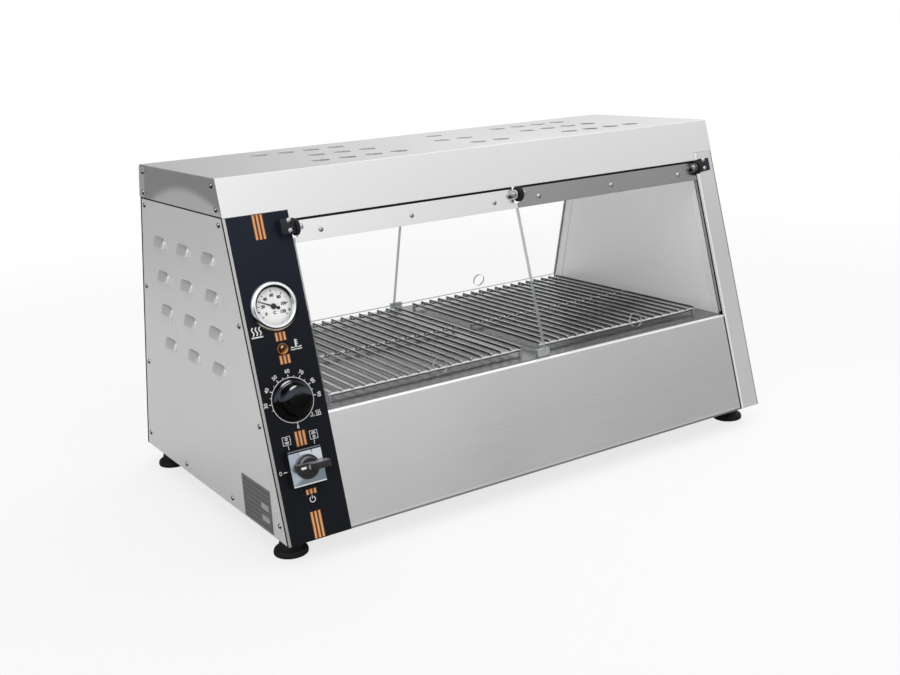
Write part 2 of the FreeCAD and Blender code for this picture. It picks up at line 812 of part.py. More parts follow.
def make_door(face, side):
    """A flap door: glass with a finger hole, a hinge strip with two ears, and its screws.

    The glass and the strip are notched at their upper corners, beside the knuckles.
    """
    name = f"{face}_{side}"
    low, high = span_on_face(face, door_limits[side])
    ear_low, ear_high = span_on_face(face, ear_limits[side])
    notch = strip_top - size.ear_notch
    hole_radius = size.screw_shank / 2 + size.fit_clearance
    screw_spots = [(on_face(face, x), rise) for x, rise in strip_screw_places(side)]
    bottom = (size.lower_height + size.door_bottom_gap) / lean_cos
    glass_top = strip_top - size.strip_thickness * 2
    middle = (low + high) / 2
    circles = [(x, rise, hole_radius) for x, rise in screw_spots]
    circles.append((middle, (size.lower_height + size.finger_hole_height) / lean_cos, size.finger_hole / 2))
    outline = [(low, bottom), (high, bottom), (high, notch), (ear_high, notch)]
    outline += [(ear_high, glass_top), (ear_low, glass_top), (ear_low, notch), (low, notch)]
    glass = padded(f"{name}_glass", outline, circles, size.glass_thickness)
    glass_front = -size.glass_setback
    put(glass, (0, 0, glass_front - size.glass_thickness), face=face)
    piece(f"{name}_glass", glass)

    stand = (glass_front, glass_front + size.strip_thickness)
    parts = [
        block(f"{name}_strip_bar", (ear_low, ear_high), (notch, strip_top), stand, face),
        block(f"{name}_strip_foot", (low, high), (strip_top - size.strip_height, notch), stand, face),
    ]
    tools = [
        rod(f"{name}_strip_hole_{number}", hole_radius, (x, level, stand[0] - 1), size.strip_thickness + 2, face=face)
        for number, (x, level) in enumerate(screw_spots)
    ]
    for number, start in enumerate((ear_low, ear_high - size.ear_thickness)):
        ear_y = (axis_rise - size.ear_radius, axis_rise + size.ear_radius)
        tab = (start, start + size.ear_thickness)
        parts.append(block(f"{name}_ear_{number}", tab, ear_y, (stand[0], size.axis_stand), face))
        centre = (start, axis_rise, size.axis_stand)
        parts.append(rod(f"{name}_ear_eye_{number}", size.ear_radius, centre, size.ear_thickness, "X", face))
        bore = pin_radius + size.running_clearance
        bore_start = (start - size.ear_thickness, axis_rise, size.axis_stand)
        tools.append(rod(f"{name}_ear_bore_{number}", bore, bore_start, size.ear_thickness * 3, "X", face))
    folded = fuse(f"{name}_strip_folded", parts)
    piece(f"{name}_hinge_strip", cut_all(f"{name}_hinge_strip", folded, tools))

    frame = face_placement(face)
    grip = size.strip_thickness + size.glass_thickness
    shapes = []
    for x, level in screw_spots:
        shape = screw_shape((grip + size.strip_nut_height).value)
        shape.Placement = frame * FreeCAD.Placement(Vector(x.value, level.value, stand[1].value), FreeCAD.Rotation())
        nut = Part.makeCylinder(size.strip_nut.value / 2, size.strip_nut_height.value)
        bore = Part.makeCylinder(hole_radius.value, size.strip_nut_height.value)
        nut = nut.cut(bore)
        back = (stand[1] - grip - size.strip_nut_height).value
        nut.Placement = frame * FreeCAD.Placement(Vector(x.value, level.value, back), FreeCAD.Rotation())
        shapes += [shape, nut]
    piece(f"{name}_strip_screws", shape_piece(f"{name}_strip_screws", Part.makeCompound(shapes)))


def hinge_end(face, side):
    """The column edge beside a hinge and the way into the opening, in the face's frame."""
    edge = left_edge if side == LEFT else right_edge
    inward = 1 if (side == LEFT) == (face == FRONT) else -1
    return on_face(face, edge), inward


def ordered(first, second):
    """Two limits, the lower one first."""
    return (first, second) if first.value < second.value else (second, first)


def hinge_screw_places(face, side):
    """Where the two screws of a side hinge block stand, in the face's frame."""
    edge, inward = hinge_end(face, side)
    x = edge - inward * size.hinge_screw_inset
    offset = size.hinge_screw_pitch / 2
    return [(x, block_rise - offset), (x, block_rise + offset)]


def make_hinges():
    """The hinge blocks on the columns and under the hood lip, their pins and screws."""
    blocks, pins, screw_shapes, middles = [], [], [], []
    knuckle = size.knuckle_diameter / 2
    bore = pin_radius + size.fit_clearance / 2
    for face in (FRONT, REAR):
        for side in (LEFT, RIGHT):
            name = f"{face}_{side}_hinge"
            edge, inward = hinge_end(face, side)
            seat = size.overlay_thickness if (face, side) == (FRONT, LEFT) else as_size(0)
            foot_x = ordered(edge - inward * size.hinge_block_width, edge + inward * size.hinge_block_overhang)
            foot_y = (block_rise - size.hinge_block_height / 2, block_rise + size.hinge_block_height / 2)
            foot = block(f"{name}_foot", foot_x, foot_y, (seat, size.hinge_block_stand), face)
            tip = edge + inward * size.knuckle_reach
            start = ordered(tip, tip - inward * size.knuckle_length)[0]
            eye = rod(f"{name}_eye", knuckle, (start, axis_rise, size.axis_stand), size.knuckle_length, "X", face)
            solid = fuse(f"{name}_solid", [foot, eye])
            pin_start = edge - inward * size.pin_seat
            low, high = ordered(pin_start, tip)
            tools = [rod(f"{name}_bore", bore, (low, axis_rise, size.axis_stand), high - low, "X", face)]
            radius = size.screw_shank / 2 + size.fit_clearance
            depth = size.hinge_block_stand + 2
            for number, (x, rise) in enumerate(hinge_screw_places(face, side)):
                tools.append(rod(f"{name}_screw_hole_{number}", radius, (x, rise, -1), depth, face=face))
            blocks.append(cut_all(f"{name}_block", solid, tools))
            pin_reach = size.ear_side_gap + size.ear_thickness + size.side_clearance + size.pin_nut_length
            pin_end = edge + inward * pin_reach
            low, high = ordered(pin_start, pin_end)
            shank = rod(f"{name}_pin_shank", pin_radius, (low, axis_rise, size.axis_stand), high - low, "X", face)
            nut_low = ordered(pin_end, pin_end - inward * size.pin_nut_length)[0]
            nut_place = (nut_low, axis_rise, size.axis_stand)
            nut = rod(f"{name}_pin_nut", size.pin_nut_radius, nut_place, size.pin_nut_length, "X", face)
            pins.append(fuse(f"{name}_pin", [shank, nut]))
            frame = face_placement(face)
            for x, rise in hinge_screw_places(face, side):
                shape = screw_shape((size.hinge_block_stand + size.screw_length).value)
                spot = Vector(x.value, rise.value, size.hinge_block_stand.value)
                shape.Placement = frame * FreeCAD.Placement(spot, FreeCAD.Rotation())
                screw_shapes.append(shape)
        middles.append(make_middle_hinge(face, bore))
        pins.append(make_middle_pin(face))
    piece("side_hinge_blocks", group("side_hinge_blocks", blocks))
    piece("middle_hinge_blocks", group("middle_hinge_blocks", middles))
    piece("hinge_pins", group("hinge_pins", pins))
    piece("hinge_block_screws", shape_piece("hinge_block_screws", Part.makeCompound(screw_shapes)))


def make_middle_hinge(face, bore):
    """The knuckle between two doors, hung from the hood lip's fold."""
    name = f"{face}_middle_hinge"
    sign = -1 if face == FRONT else 1
    half = size.middle_knuckle_length / 2
    level = axis_rise * lean_cos + size.axis_stand * lean_sin
    reach = size.base_depth / 2 - axis_rise * lean_sin + size.axis_stand * lean_cos
    centre = (seam_x - half, sign * reach, level)
    eye = rod(f"{name}_eye", size.knuckle_diameter / 2, centre, size.middle_knuckle_length, "X")
    hanger_y = ordered(sign * reach, sign * (half_depth(lip_height) - size.return_depth))
    hanger_z = (level - size.pin_diameter, lip_height)
    hanger = block(f"{name}_hanger", (seam_x - half, seam_x + half), hanger_y, hanger_z)
    tool = rod(f"{name}_bore", bore, (centre[0] - 1, centre[1], centre[2]), size.middle_knuckle_length + 2, "X")
    return cut(f"{name}_block", fuse(f"{name}_solid", [eye, hanger]), tool)


def make_middle_pin(face):
    """The pin through a middle knuckle, with a dome nut outside each ear."""
    name = f"{face}_middle_pin"
    x = on_face(face, seam_x)
    half = size.ear_middle_gap / 2 + size.ear_thickness + size.side_clearance + size.pin_nut_length
    shank = rod(f"{name}_shank", pin_radius, (x - half, axis_rise, size.axis_stand), half * 2, "X", face)
    parts = [shank]
    for number, start in enumerate((x - half, x + half - size.pin_nut_length)):
        place = (start, axis_rise, size.axis_stand)
        parts.append(rod(f"{name}_nut_{number}", size.pin_nut_radius, place, size.pin_nut_length, "X", face))
    return fuse(name, parts)


def make_door_stops():
    """The clear stops on the deck that both doors of a face rest against."""
    stops = []
    for sign, face in ((-1, FRONT), (1, REAR)):
        glass_back = (size.glass_setback + size.glass_thickness) / lean_cos
        near = half_depth(deck_top + size.stop_height) - glass_back - size.stop_clearance
        y = ordered(sign * near, sign * (near - size.stop_depth))
        x = (seam_x - size.stop_width / 2, seam_x + size.stop_width / 2)
        stops.append(block(f"{face}_door_stop", x, y, (deck_top, deck_top + size.stop_height)))
    piece("door_stops", group("door_stops", stops))


# Deck and grates

def make_deck():
    """The heated deck on the lower panels' top folds."""
    x = (left_edge, right_edge)
    z = (size.lower_height, deck_top)
    piece("deck_plate", plate("deck_plate", x, z, size.deck_setback))


def make_grate(side):
    """A welded grate: wires along Y on three bars whose ends turn down as legs."""
    name = f"{side}_grate"
    width = (right_edge - left_edge - size.grate_gap) / 2 - size.grate_side_gap
    reach = half_depth(deck_top, size.grate_end_gap)
    first = left_edge + size.grate_side_gap if side == LEFT else right_edge - size.grate_side_gap - width
    bar_level = deck_top + size.grate_lift
    wire_level = bar_level + (size.grate_bar + size.grate_wire) / 2 - size.grate_weld
    wire_pitch = width / (GRATE_WIRES - 1)
    parts = []
    for number in range(GRATE_WIRES):
        start = (first + wire_pitch * number, -reach, wire_level)
        parts.append(rod(f"{name}_wire_{number}", size.grate_wire / 2, start, reach * 2, "Y"))
    bar_reach = reach - size.grate_bar_inset
    for row, y in enumerate((-bar_reach, as_size(0), bar_reach)):
        bar = rod(f"{name}_bar_{row}", size.grate_bar / 2, (first, y, bar_level), width, "X")
        parts.append(bar)
        for end, x in enumerate((first, first + width)):
            parts.append(rod(f"{name}_leg_{row}_{end}", size.grate_bar / 2, (x, y, deck_top), size.grate_lift))
            elbow = doc.addObject("Part::Sphere", f"{name}_elbow_{row}_{end}")
            bind(elbow, Radius=size.grate_bar / 2)
            parts.append(put(elbow, (x, y, bar_level)))
    piece(name, fuse(name, parts))


# Controls

def make_control_column():
    """The control column, drilled for its controls, its side screws and a hinge block."""
    folded = column("control_panel", LEFT, FRONT)
    tools = [side_holes[LEFT]]
    through = size.sheet * 4
    for name, (x, rise, radius) in control_holes.items():
        tools.append(rod(f"panel_{name}_hole", radius, (x, rise, -size.sheet * 2), through, face=FRONT))
    piece("control_panel", cut_all("control_panel", folded, tools))
    overlay_top = size.body_height / lean_cos - size.overlay_top_gap
    outline = rectangle((size.overlay_margin - half_width, left_edge), (0, overlay_top))
    overlay = padded("control_overlay", outline, list(control_holes.values()), size.overlay_thickness)
    piece("control_overlay", put(overlay, (0, 0, 0), face=FRONT))


def make_other_columns():
    """The plain columns, drilled for their screws and, at the rear left, for the cable gland."""
    for side, face in ((LEFT, REAR), (RIGHT, FRONT), (RIGHT, REAR)):
        name = f"{face}_{side}_post"
        folded = column(name, side, face)
        radius = size.screw_shank / 2 + size.fit_clearance
        tools = [side_holes[side]]
        for number, (x, rise) in enumerate(hinge_screw_places(face, side)):
            place = (x, rise, -size.sheet * 2)
            tools.append(rod(f"{name}_hinge_hole_{number}", radius, place, size.sheet * 4, face=face))
        if (side, face) == (LEFT, REAR):
            gland_radius = size.gland_thread / 2 + size.fit_clearance
            spot = (-control_x, size.gland_rise, -size.sheet * 2)
            tools.append(rod(f"{name}_gland_hole", gland_radius, spot, size.sheet * 4, face=face))
        piece(name, cut_all(name, folded, tools))


def make_thermometer():
    """The dial thermometer: case with its pivot, dial, needle, lens and bezel."""
    spot = (control_x, thermometer_rise)
    outer = size.case_diameter / 2
    well = outer - size.case_wall
    can = rod("case_can", outer, (*spot, -size.case_depth), size.case_depth + size.case_rim, face=FRONT)
    hollow = rod("case_hollow", well, (*spot, -size.dial_depth), size.dial_depth + size.case_rim + 1, face=FRONT)
    pivot_length = size.dial_thickness + size.needle_lift + size.needle_thickness
    pivot = rod("case_pivot", size.pivot_diameter / 2, (*spot, -size.dial_depth), pivot_length, face=FRONT)
    piece("thermometer_case", fuse("thermometer_case", [cut("case_cup", can, hollow), pivot]))

    pivot_hole = size.pivot_diameter / 2 + size.running_clearance
    dial = disc("thermometer_dial", well - size.fit_clearance, size.dial_thickness, pivot_hole)
    piece("thermometer_dial", put(dial, (*spot, -size.dial_depth), face=FRONT))

    needle_level = size.dial_thickness + size.needle_lift - size.dial_depth
    turn = size.dial_sweep / 2 - size.dial_sweep * size.reading / size.reading_span
    hub = rod("needle_hub", size.needle_hub / 2, (*spot, needle_level), size.needle_thickness, face=FRONT)
    blade = doc.addObject("Part::Wedge", "needle_blade")
    half_blade = size.needle_width / 2
    half_tip = size.needle_width / 8
    bind(blade, Xmin=-half_blade, Xmax=half_blade, X2min=-half_tip, X2max=half_tip)
    bind(blade, Ymin=-size.needle_tail, Ymax=size.needle_length)
    bind(blade, Zmin=0, Zmax=size.needle_thickness, Z2min=0, Z2max=size.needle_thickness)
    put(blade, (*spot, needle_level), (turn, 0, 0), FRONT)
    bore = rod("needle_bore", pivot_hole, (*spot, needle_level - 1), size.needle_thickness + 2, face=FRONT)
    solid = fuse("needle_solid", [hub, blade])
    piece("thermometer_needle", cut("thermometer_needle", solid, bore))

    lens = disc("thermometer_lens", well - size.fit_clearance, size.lens_thickness)
    piece("thermometer_lens", put(lens, (*spot, size.case_rim - size.lens_thickness), face=FRONT))

    rim = size.bezel_diameter / 2
    window = size.bezel_window / 2
    inner = outer + size.fit_clearance
    seat = size.case_rim + size.fit_clearance / 2
    shoulder = (seat + size.bezel_stand) / 2
    bezel = turned("thermometer_bezel", [
        (inner, size.overlay_thickness),
        (rim, size.overlay_thickness),
        (rim, shoulder),
        ((rim * 2 + window) / 3, size.bezel_stand),
        ((rim + window * 2) / 3, size.bezel_stand),
        (window, shoulder),
        (window, seat),
        (inner, seat),
    ])
    piece("thermometer_bezel", put(bezel, (*spot, 0), face=FRONT))


def make_lamp():
    """The pilot lamp: its body with a collar, and its domed lens."""
    spot = (control_x, lamp_rise)
    base = size.overlay_thickness
    collar_top = base + size.lamp_collar_height
    stem = rod("lamp_stem", size.lamp_body_diameter / 2, (*spot, -size.lamp_body_depth), size.lamp_body_depth + base,
               face=FRONT)
    collar = rod("lamp_collar", size.lamp_collar / 2, (*spot, base), size.lamp_collar_height, face=FRONT)
    piece("pilot_lamp_body", fuse("pilot_lamp_body", [stem, collar]))
    radius = size.lamp_diameter / 2
    drum = rod("lamp_drum", radius, (*spot, collar_top), size.lamp_lens_height, face=FRONT)
    dome = doc.addObject("Part::Sphere", "lamp_dome")
    dome_radius = size.lamp_diameter * LAMP_DOME
    bind(dome, Radius=dome_radius)
    put(dome, (*spot, collar_top + size.lamp_lens_height - dome_radius), face=FRONT)
    lens = doc.addObject("Part::MultiCommon", "pilot_lamp_lens")
    lens.Shapes = [drum, dome]
    piece("pilot_lamp_lens", lens)


def make_thermostat():
    """The thermostat: its body, bush and shaft behind the panel, and its knob in front."""
    spot = (control_x, thermostat_rise)
    half = size.thermostat_width / 2
    back = -size.sheet - size.thermostat_depth
    can = block("thermostat_can", (control_x - half, control_x + half),
                (thermostat_rise - half, thermostat_rise + half), (back, -size.sheet), FRONT)
    seat = (*spot, -size.sheet)
    bush_length = size.sheet + size.overlay_thickness
    bush = rod("thermostat_bush_rod", size.thermostat_bush / 2, seat, bush_length, face=FRONT)
    shaft = rod("thermostat_shaft", size.shaft_diameter / 2, seat, size.sheet + size.shaft_stand, face=FRONT)
    piece("thermostat_body", fuse("thermostat_body", [can, bush, shaft]))

    rim = size.knob_diameter / 2
    cap = size.knob_cap / 2
    bore = size.shaft_diameter / 2 + size.running_clearance
    bottom = size.overlay_thickness + size.knob_lift
    crown = bottom + size.knob_height
    bore_end = size.shaft_stand + size.side_clearance
    skirt = bottom + size.knob_skirt
    knob = turned("thermostat_knob", [
        (bore, bottom),
        (rim, bottom),
        (rim, skirt),
        (cap + (rim - cap) * KNOB_FLARE, skirt + size.knob_skirt / 2),
        (cap, skirt + size.knob_skirt),
        *[(cap * reach, crown - size.knob_height * drop) for reach, drop in KNOB_CROWN],
        (0, crown),
        (0, bore_end),
        (bore, bore_end),
    ])
    piece("thermostat_knob", put(knob, (*spot, 0), face=FRONT))


def make_switch():
    """The cam switch: its body and spindle, its square base, its plate and its handle."""
    spot = (switch_x, size.switch_rise)
    rise = size.switch_rise
    half = size.switch_body_width / 2
    back = -size.sheet - size.switch_body_depth
    can_x = (switch_x - half, switch_x + half)
    can = block("switch_can", can_x, (rise - half, rise + half), (back, -size.sheet), FRONT)
    spindle = rod("switch_spindle", size.spindle_diameter / 2, (*spot, -size.sheet), size.sheet + size.spindle_stand,
                  face=FRONT)
    piece("switch_body", fuse("switch_body", [can, spindle]))

    square_limits = (-size.switch_width / 2, size.switch_width / 2)
    square = rectangle(square_limits, square_limits)
    hole = [(0, 0, size.spindle_diameter / 2 + size.fit_clearance)]
    base = padded("switch_base", square, hole, size.switch_base_height)
    piece("switch_base", put(base, (*spot, size.overlay_thickness), face=FRONT))
    plate_level = size.overlay_thickness + size.switch_base_height
    cover = padded("switch_plate", square, hole, size.switch_plate_thickness)
    piece("switch_plate", put(cover, (*spot, plate_level), face=FRONT))

    handle_level = plate_level + size.switch_plate_thickness + size.handle_lift
    hub = rod("handle_hub_disc", size.handle_hub / 2, (*spot, handle_level), size.handle_hub_height, face=FRONT)
    grip = doc.addObject("Part::Wedge", "handle_grip")
    half_grip = size.handle_width / 2
    bind(grip, Xmin=-size.handle_pointer, Xmax=size.handle_lever)
    bind(grip, X2min=half_grip - size.handle_pointer, X2max=size.handle_lever - half_grip / 2)
    bind(grip, Ymin=0, Ymax=size.handle_height)
    half_top = half_grip * GRIP_TAPER
    bind(grip, Zmin=-half_grip, Zmax=half_grip, Z2min=-half_top, Z2max=half_top)
    put(grip, (*spot, handle_level), (0, 0, 90), FRONT)
    bore_radius = size.spindle_diameter / 2 + size.running_clearance
    bore_length = size.spindle_stand + size.side_clearance - handle_level
    bore = rod("handle_bore", bore_radius, (*spot, handle_level), bore_length, face=FRONT)
    solid = fuse("handle_solid", [hub, grip])
    piece("switch_handle", cut("switch_handle", solid, bore))


# Heating elements, sensors and wiring pieces

def tube(points, radius):
    """A round tube along points joined by straight runs, with half circles where a run turns back."""
    edges = []
    for start, end in zip(points[:-1], points[1:]):
        if start.x == end.x:
            sign = 1 if start.x > 0 else -1
            bulge = Vector(start.x + sign * (start - end).Length / 2, (start.y + end.y) / 2, start.z)
            edges.append(Part.Arc(start, bulge, end).toShape())
        else:
            edges.append(Part.LineSegment(start, end).toShape())
    path = Part.Wire(edges)
    section = Part.Wire(Part.Circle(points[0], points[1] - points[0], radius).toShape())
    return path.makePipeShell([section], True, False)


def make_heater(label, height, pitch, runs):
    """A sheathed heating element of straight runs, its two tails in the control column."""
    left = (left_edge - size.heater_tail).value
    near = (left_edge + size.heater_end_gap).value
    far = (right_edge - size.heater_end_gap - pitch / 2).value
    level = (size.foot_height + height).value
    points = []
    for number in range(runs):
        y = (number - (runs - 1) / 2) * pitch.value
        first = left if number == 0 else near
        last = left if number == runs - 1 else near
        ends = (first, far) if number % 2 == 0 else (far, last)
        points += [Vector(x, y, level) for x in ends]
    piece(label, shape_piece(label, tube(points, size.heater_tube.value / 2)))


def make_heater_clips():
    """The bars that hang both elements from the deck and from the ceiling."""
    clips = []
    radius = size.heater_tube / 2 + size.fit_clearance
    layouts = (
        ("bottom", bottom_heater_height, size.heater_run_pitch, (-3, -1, 1, 3), size.lower_height),
        ("top", top_heater_height, size.top_heater_pitch, (-1, 1), lip_height + size.sheet),
    )
    for name, height, pitch, halves, seat in layouts:
        reach = pitch * max(halves) / 2 + size.heater_clip_margin
        ends = ((LEFT, left_edge + size.heater_clip_inset), (RIGHT, right_edge - size.heater_clip_inset))
        for end, middle in ends:
            x = (middle - size.heater_clip_width / 2, middle + size.heater_clip_width / 2)
            bar = block(f"{name}_clip_bar_{end}", x, (-reach, reach), (height - size.heater_clip_margin, seat))
            holes = [
                rod(f"{name}_clip_hole_{end}_{half}", radius, (x[0] - 1, pitch * half / 2, height),
                    size.heater_clip_width + 2, "X")
                for half in halves
            ]
            clips.append(cut_all(f"{name}_clip_{end}", bar, holes))
    piece("heater_clips", group("heater_clips", clips))


bottom_heater_height = size.lower_height - size.heater_drop


def rounded_path(points, radius):
    """Straight runs joined by tangent arcs."""
    edges = []
    start = points[0]
    for before, corner, after in zip(points[:-2], points[1:-1], points[2:]):
        back = (before - corner).normalize()
        forth = (after - corner).normalize()
        reach = radius / math.tan(back.getAngle(forth) / 2)
        first = corner + back * reach
        last = corner + forth * reach
        inward = (back + forth).normalize()
        middle = corner + inward * (math.hypot(radius, reach) - radius)
        edges.append(Part.LineSegment(start, first).toShape())
        edges.append(Part.Arc(first, middle, last).toShape())
        start = last
    edges.append(Part.LineSegment(start, points[-1]).toShape())
    return Part.Wire(edges)


def make_sensors():
    """The sensor bulbs under the deck and the capillaries to their instruments."""
    level = (size.foot_height + size.lower_height - size.bulb_diameter / 2 - size.bulb_clearance).value
    bulb_start = (left_edge + size.bulb_reach).value
    frame = face_placement(FRONT)
    instruments = (
        (thermostat_rise, -size.sheet - size.thermostat_depth, size.thermostat_depth),
        (thermometer_rise, -size.case_depth, size.case_depth * 2),
    )
    shapes = []
    for rise, back, setback in instruments:
        end = frame.multVec(Vector(control_x.value, rise.value, (back - size.bulb_clearance).value))
        corner = Vector(end.x, end.y + setback.value, end.z)
        low = Vector(corner.x, corner.y, level)
        bulb = Vector(bulb_start, corner.y, level)
        path = rounded_path([bulb, low, corner, end], size.capillary_bend.value)
        section = Part.Wire(Part.Circle(bulb, low - bulb, size.capillary.value / 2).toShape())
        line = path.makePipeShell([section], True, False)
        can = Part.makeCylinder(size.bulb_diameter.value / 2, size.bulb_length.value, bulb, Vector(1, 0, 0))
        shapes.append(can.fuse(line).removeSplitter())
    piece("sensor_bulbs", shape_piece("sensor_bulbs", Part.makeCompound(shapes)))


def make_wiring_pieces():
    """The terminal block on the base pan and the cable gland through the rear left column."""
    half = size.terminal_length / 2
    y = (size.terminal_setback, size.terminal_setback + size.terminal_depth)
    z = (size.sheet, size.sheet + size.terminal_height)
    piece("terminal_block", block("terminal_block", (control_x - half, control_x + half), y, z))
    bore = size.gland_bore / 2
    thread = size.gland_thread / 2
    flange = size.gland_flange / 2
    cap = size.gland_cap / 2
    top = size.gland_flange_height + size.gland_cap_height
    shoulder = size.gland_flange_height + size.gland_cap_height / 2
    nut_bottom = -size.sheet - size.gland_nut_height
    gland = turned("cable_gland", [
        (bore, nut_bottom),
        (flange, nut_bottom),
        (flange, -size.sheet),
        (thread, -size.sheet),
        (thread, 0),
        (flange, 0),
        (flange, size.gland_flange_height),
        (cap, size.gland_flange_height),
        (cap, shoulder),
        ((cap + bore) / 2, top),
        (bore, top),
    ])
    piece("cable_gland", put(gland, (-control_x, size.gland_rise, 0), face=REAR))


# Feet and rating plate

def make_feet():
    """The rubber feet and the studs that hold them to the base."""
    feet, studs = [], []
    for number, (x, y) in enumerate(foot_places):
        pad = rod(f"foot_pad_{number}", size.foot_diameter / 2, (x, y, -size.foot_height), size.foot_pad)
        cone = doc.addObject("Part::Cone", f"foot_cone_{number}")
        bind(cone, Radius1=size.foot_diameter / 2, Radius2=size.foot_neck / 2)
        bind(cone, Height=size.foot_height - size.foot_pad)
        put(cone, (x, y, size.foot_pad - size.foot_height))
        hole = rod(f"foot_hole_{number}", size.stud_diameter / 2 + size.fit_clearance, (x, y, -size.stud_embed),
                   size.stud_embed + 1)
        feet.append(cut(f"foot_{number}", fuse(f"foot_solid_{number}", [pad, cone]), hole))
        stud = rod(f"stud_rod_{number}", size.stud_diameter / 2, (x, y, -size.stud_embed), size.stud_length)
        nut = doc.addObject("Part::Prism", f"stud_nut_{number}")
        nut.Polygon = 6
        bind(nut, Circumradius=size.stud_nut / 2, Height=size.stud_nut_height)
        put(nut, (x, y, size.sheet))
        studs.append(fuse(f"stud_{number}", [stud, nut]))
    piece("feet", group("feet", feet))
    piece("foot_studs", group("foot_studs", studs))


def make_rating_plate():
    """The bare rating plate on the left side, by the front lower corner."""
    x = (-half_width - size.rating_thickness, -half_width)
    front = size.rating_inset - size.base_depth / 2
    y = (front, front + size.rating_length)
    z = (size.sheet * 2, size.sheet * 2 + size.rating_height)
    piece("rating_plate", block("rating_plate", x, y, z))


control_holes = {
    "thermometer": (control_x, thermometer_rise, size.case_diameter / 2 + size.fit_clearance),
    "lamp": (control_x, lamp_rise, size.lamp_body_diameter / 2 + size.fit_clearance),
    "thermostat": (control_x, thermostat_rise, size.thermostat_bush / 2 + size.fit_clearance),
    "switch": (switch_x, size.switch_rise, size.spindle_diameter / 2 + size.fit_clearance),
}
for hinge_number, (hinge_x, hinge_rise) in enumerate(hinge_screw_places(FRONT, LEFT)):
    hinge_hole = size.screw_shank / 2 + size.fit_clearance
    control_holes[f"hinge_{hinge_number}"] = (hinge_x, hinge_rise, hinge_hole)

make_base_pan()
make_control_column()
make_other_columns()
for lower_face in (FRONT, REAR):
    make_lower_panel(lower_face)
make_side_panels()
make_inner_walls()
make_hood()
make_deck()
for grate_side in (LEFT, RIGHT):
    make_grate(grate_side)
for door_face in (FRONT, REAR):
    for door_side in (LEFT, RIGHT):
        make_door(door_face, door_side)
make_hinges()
make_door_stops()
make_thermometer()
make_lamp()
make_thermostat()
make_switch()
make_heater("bottom_heater", bottom_heater_height, size.heater_run_pitch, 4)
make_heater("top_heater", top_heater_height, size.top_heater_pitch, 2)
make_heater_clips()
make_sensors()
make_wiring_pieces()
make_feet()
make_rating_plate()
doc.recompute()

faulty = [item.Name for item in doc.Objects if "Invalid" in item.State or "Error" in item.State]
if faulty:
    raise RuntimeError(f"objects that failed to compute: {faulty}")
for label, item in pieces.items():
    if item.Shape.isNull() or not item.Shape.isValid() or not item.Shape.Solids:
        raise RuntimeError(f"{label} has no valid shape")

os.makedirs("parts", exist_ok=True)
for label, item in pieces.items():
    item.Shape.exportStep(f"parts/{label}.step")
    print(f"{label}: {len(item.Shape.Solids)} solids, {item.Shape.Volume:.1f} mm3")
print(f"{len(pieces)} pieces")
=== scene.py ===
"""Looks of the hot holding unit: a counter-top display warmer with two leaning glass faces."""

import functools
import logging
import math
from dataclasses import dataclass, field, replace
from enum import Enum
from typing import Iterable, Sequence

import bmesh
import bpy
from mathutils import Matrix, Vector


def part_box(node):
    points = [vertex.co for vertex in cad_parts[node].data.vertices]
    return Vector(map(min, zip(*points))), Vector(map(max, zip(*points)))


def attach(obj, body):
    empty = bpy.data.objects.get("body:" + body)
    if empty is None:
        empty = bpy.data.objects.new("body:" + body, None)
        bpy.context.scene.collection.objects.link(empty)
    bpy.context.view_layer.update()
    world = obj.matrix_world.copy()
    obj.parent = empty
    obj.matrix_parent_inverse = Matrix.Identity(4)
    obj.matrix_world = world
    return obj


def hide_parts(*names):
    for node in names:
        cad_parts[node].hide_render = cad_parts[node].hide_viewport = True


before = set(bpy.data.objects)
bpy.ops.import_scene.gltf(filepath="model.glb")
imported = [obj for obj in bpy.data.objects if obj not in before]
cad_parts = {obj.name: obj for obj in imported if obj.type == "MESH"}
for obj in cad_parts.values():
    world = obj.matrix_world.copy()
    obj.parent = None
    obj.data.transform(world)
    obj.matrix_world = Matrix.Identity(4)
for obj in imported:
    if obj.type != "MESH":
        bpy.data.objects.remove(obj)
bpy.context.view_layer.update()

LOG = logging.getLogger("hot_holding_unit")
MM = 0.001
WHOLE_TURN = 2 * math.pi
Colour = tuple[float, float, float]
Point = Sequence[float]
Ring = list[bmesh.types.BMVert]
Strokes = list[tuple[Sequence[Point], float]]
BLACK: Colour = (0.0, 0.0, 0.0)
WHITE: Colour = (1.0, 1.0, 1.0)
LEAN = math.radians(15.0)
LEAN_SIN, LEAN_COS, LEAN_SLOPE = math.sin(LEAN), math.cos(LEAN), math.tan(LEAN)
BASE_DEPTH = 520.0
FOOT_HEIGHT = 30.0
INK_SINK = 0.02
INK_HEIGHT = 0.06
SMOOTH_BELOW = 32.0
WELD = 1e-6
DOORS = ("front_left", "front_right", "rear_left", "rear_right")


def grey(level: float) -> Colour:
    """Return a neutral colour."""
    return (level, level, level)


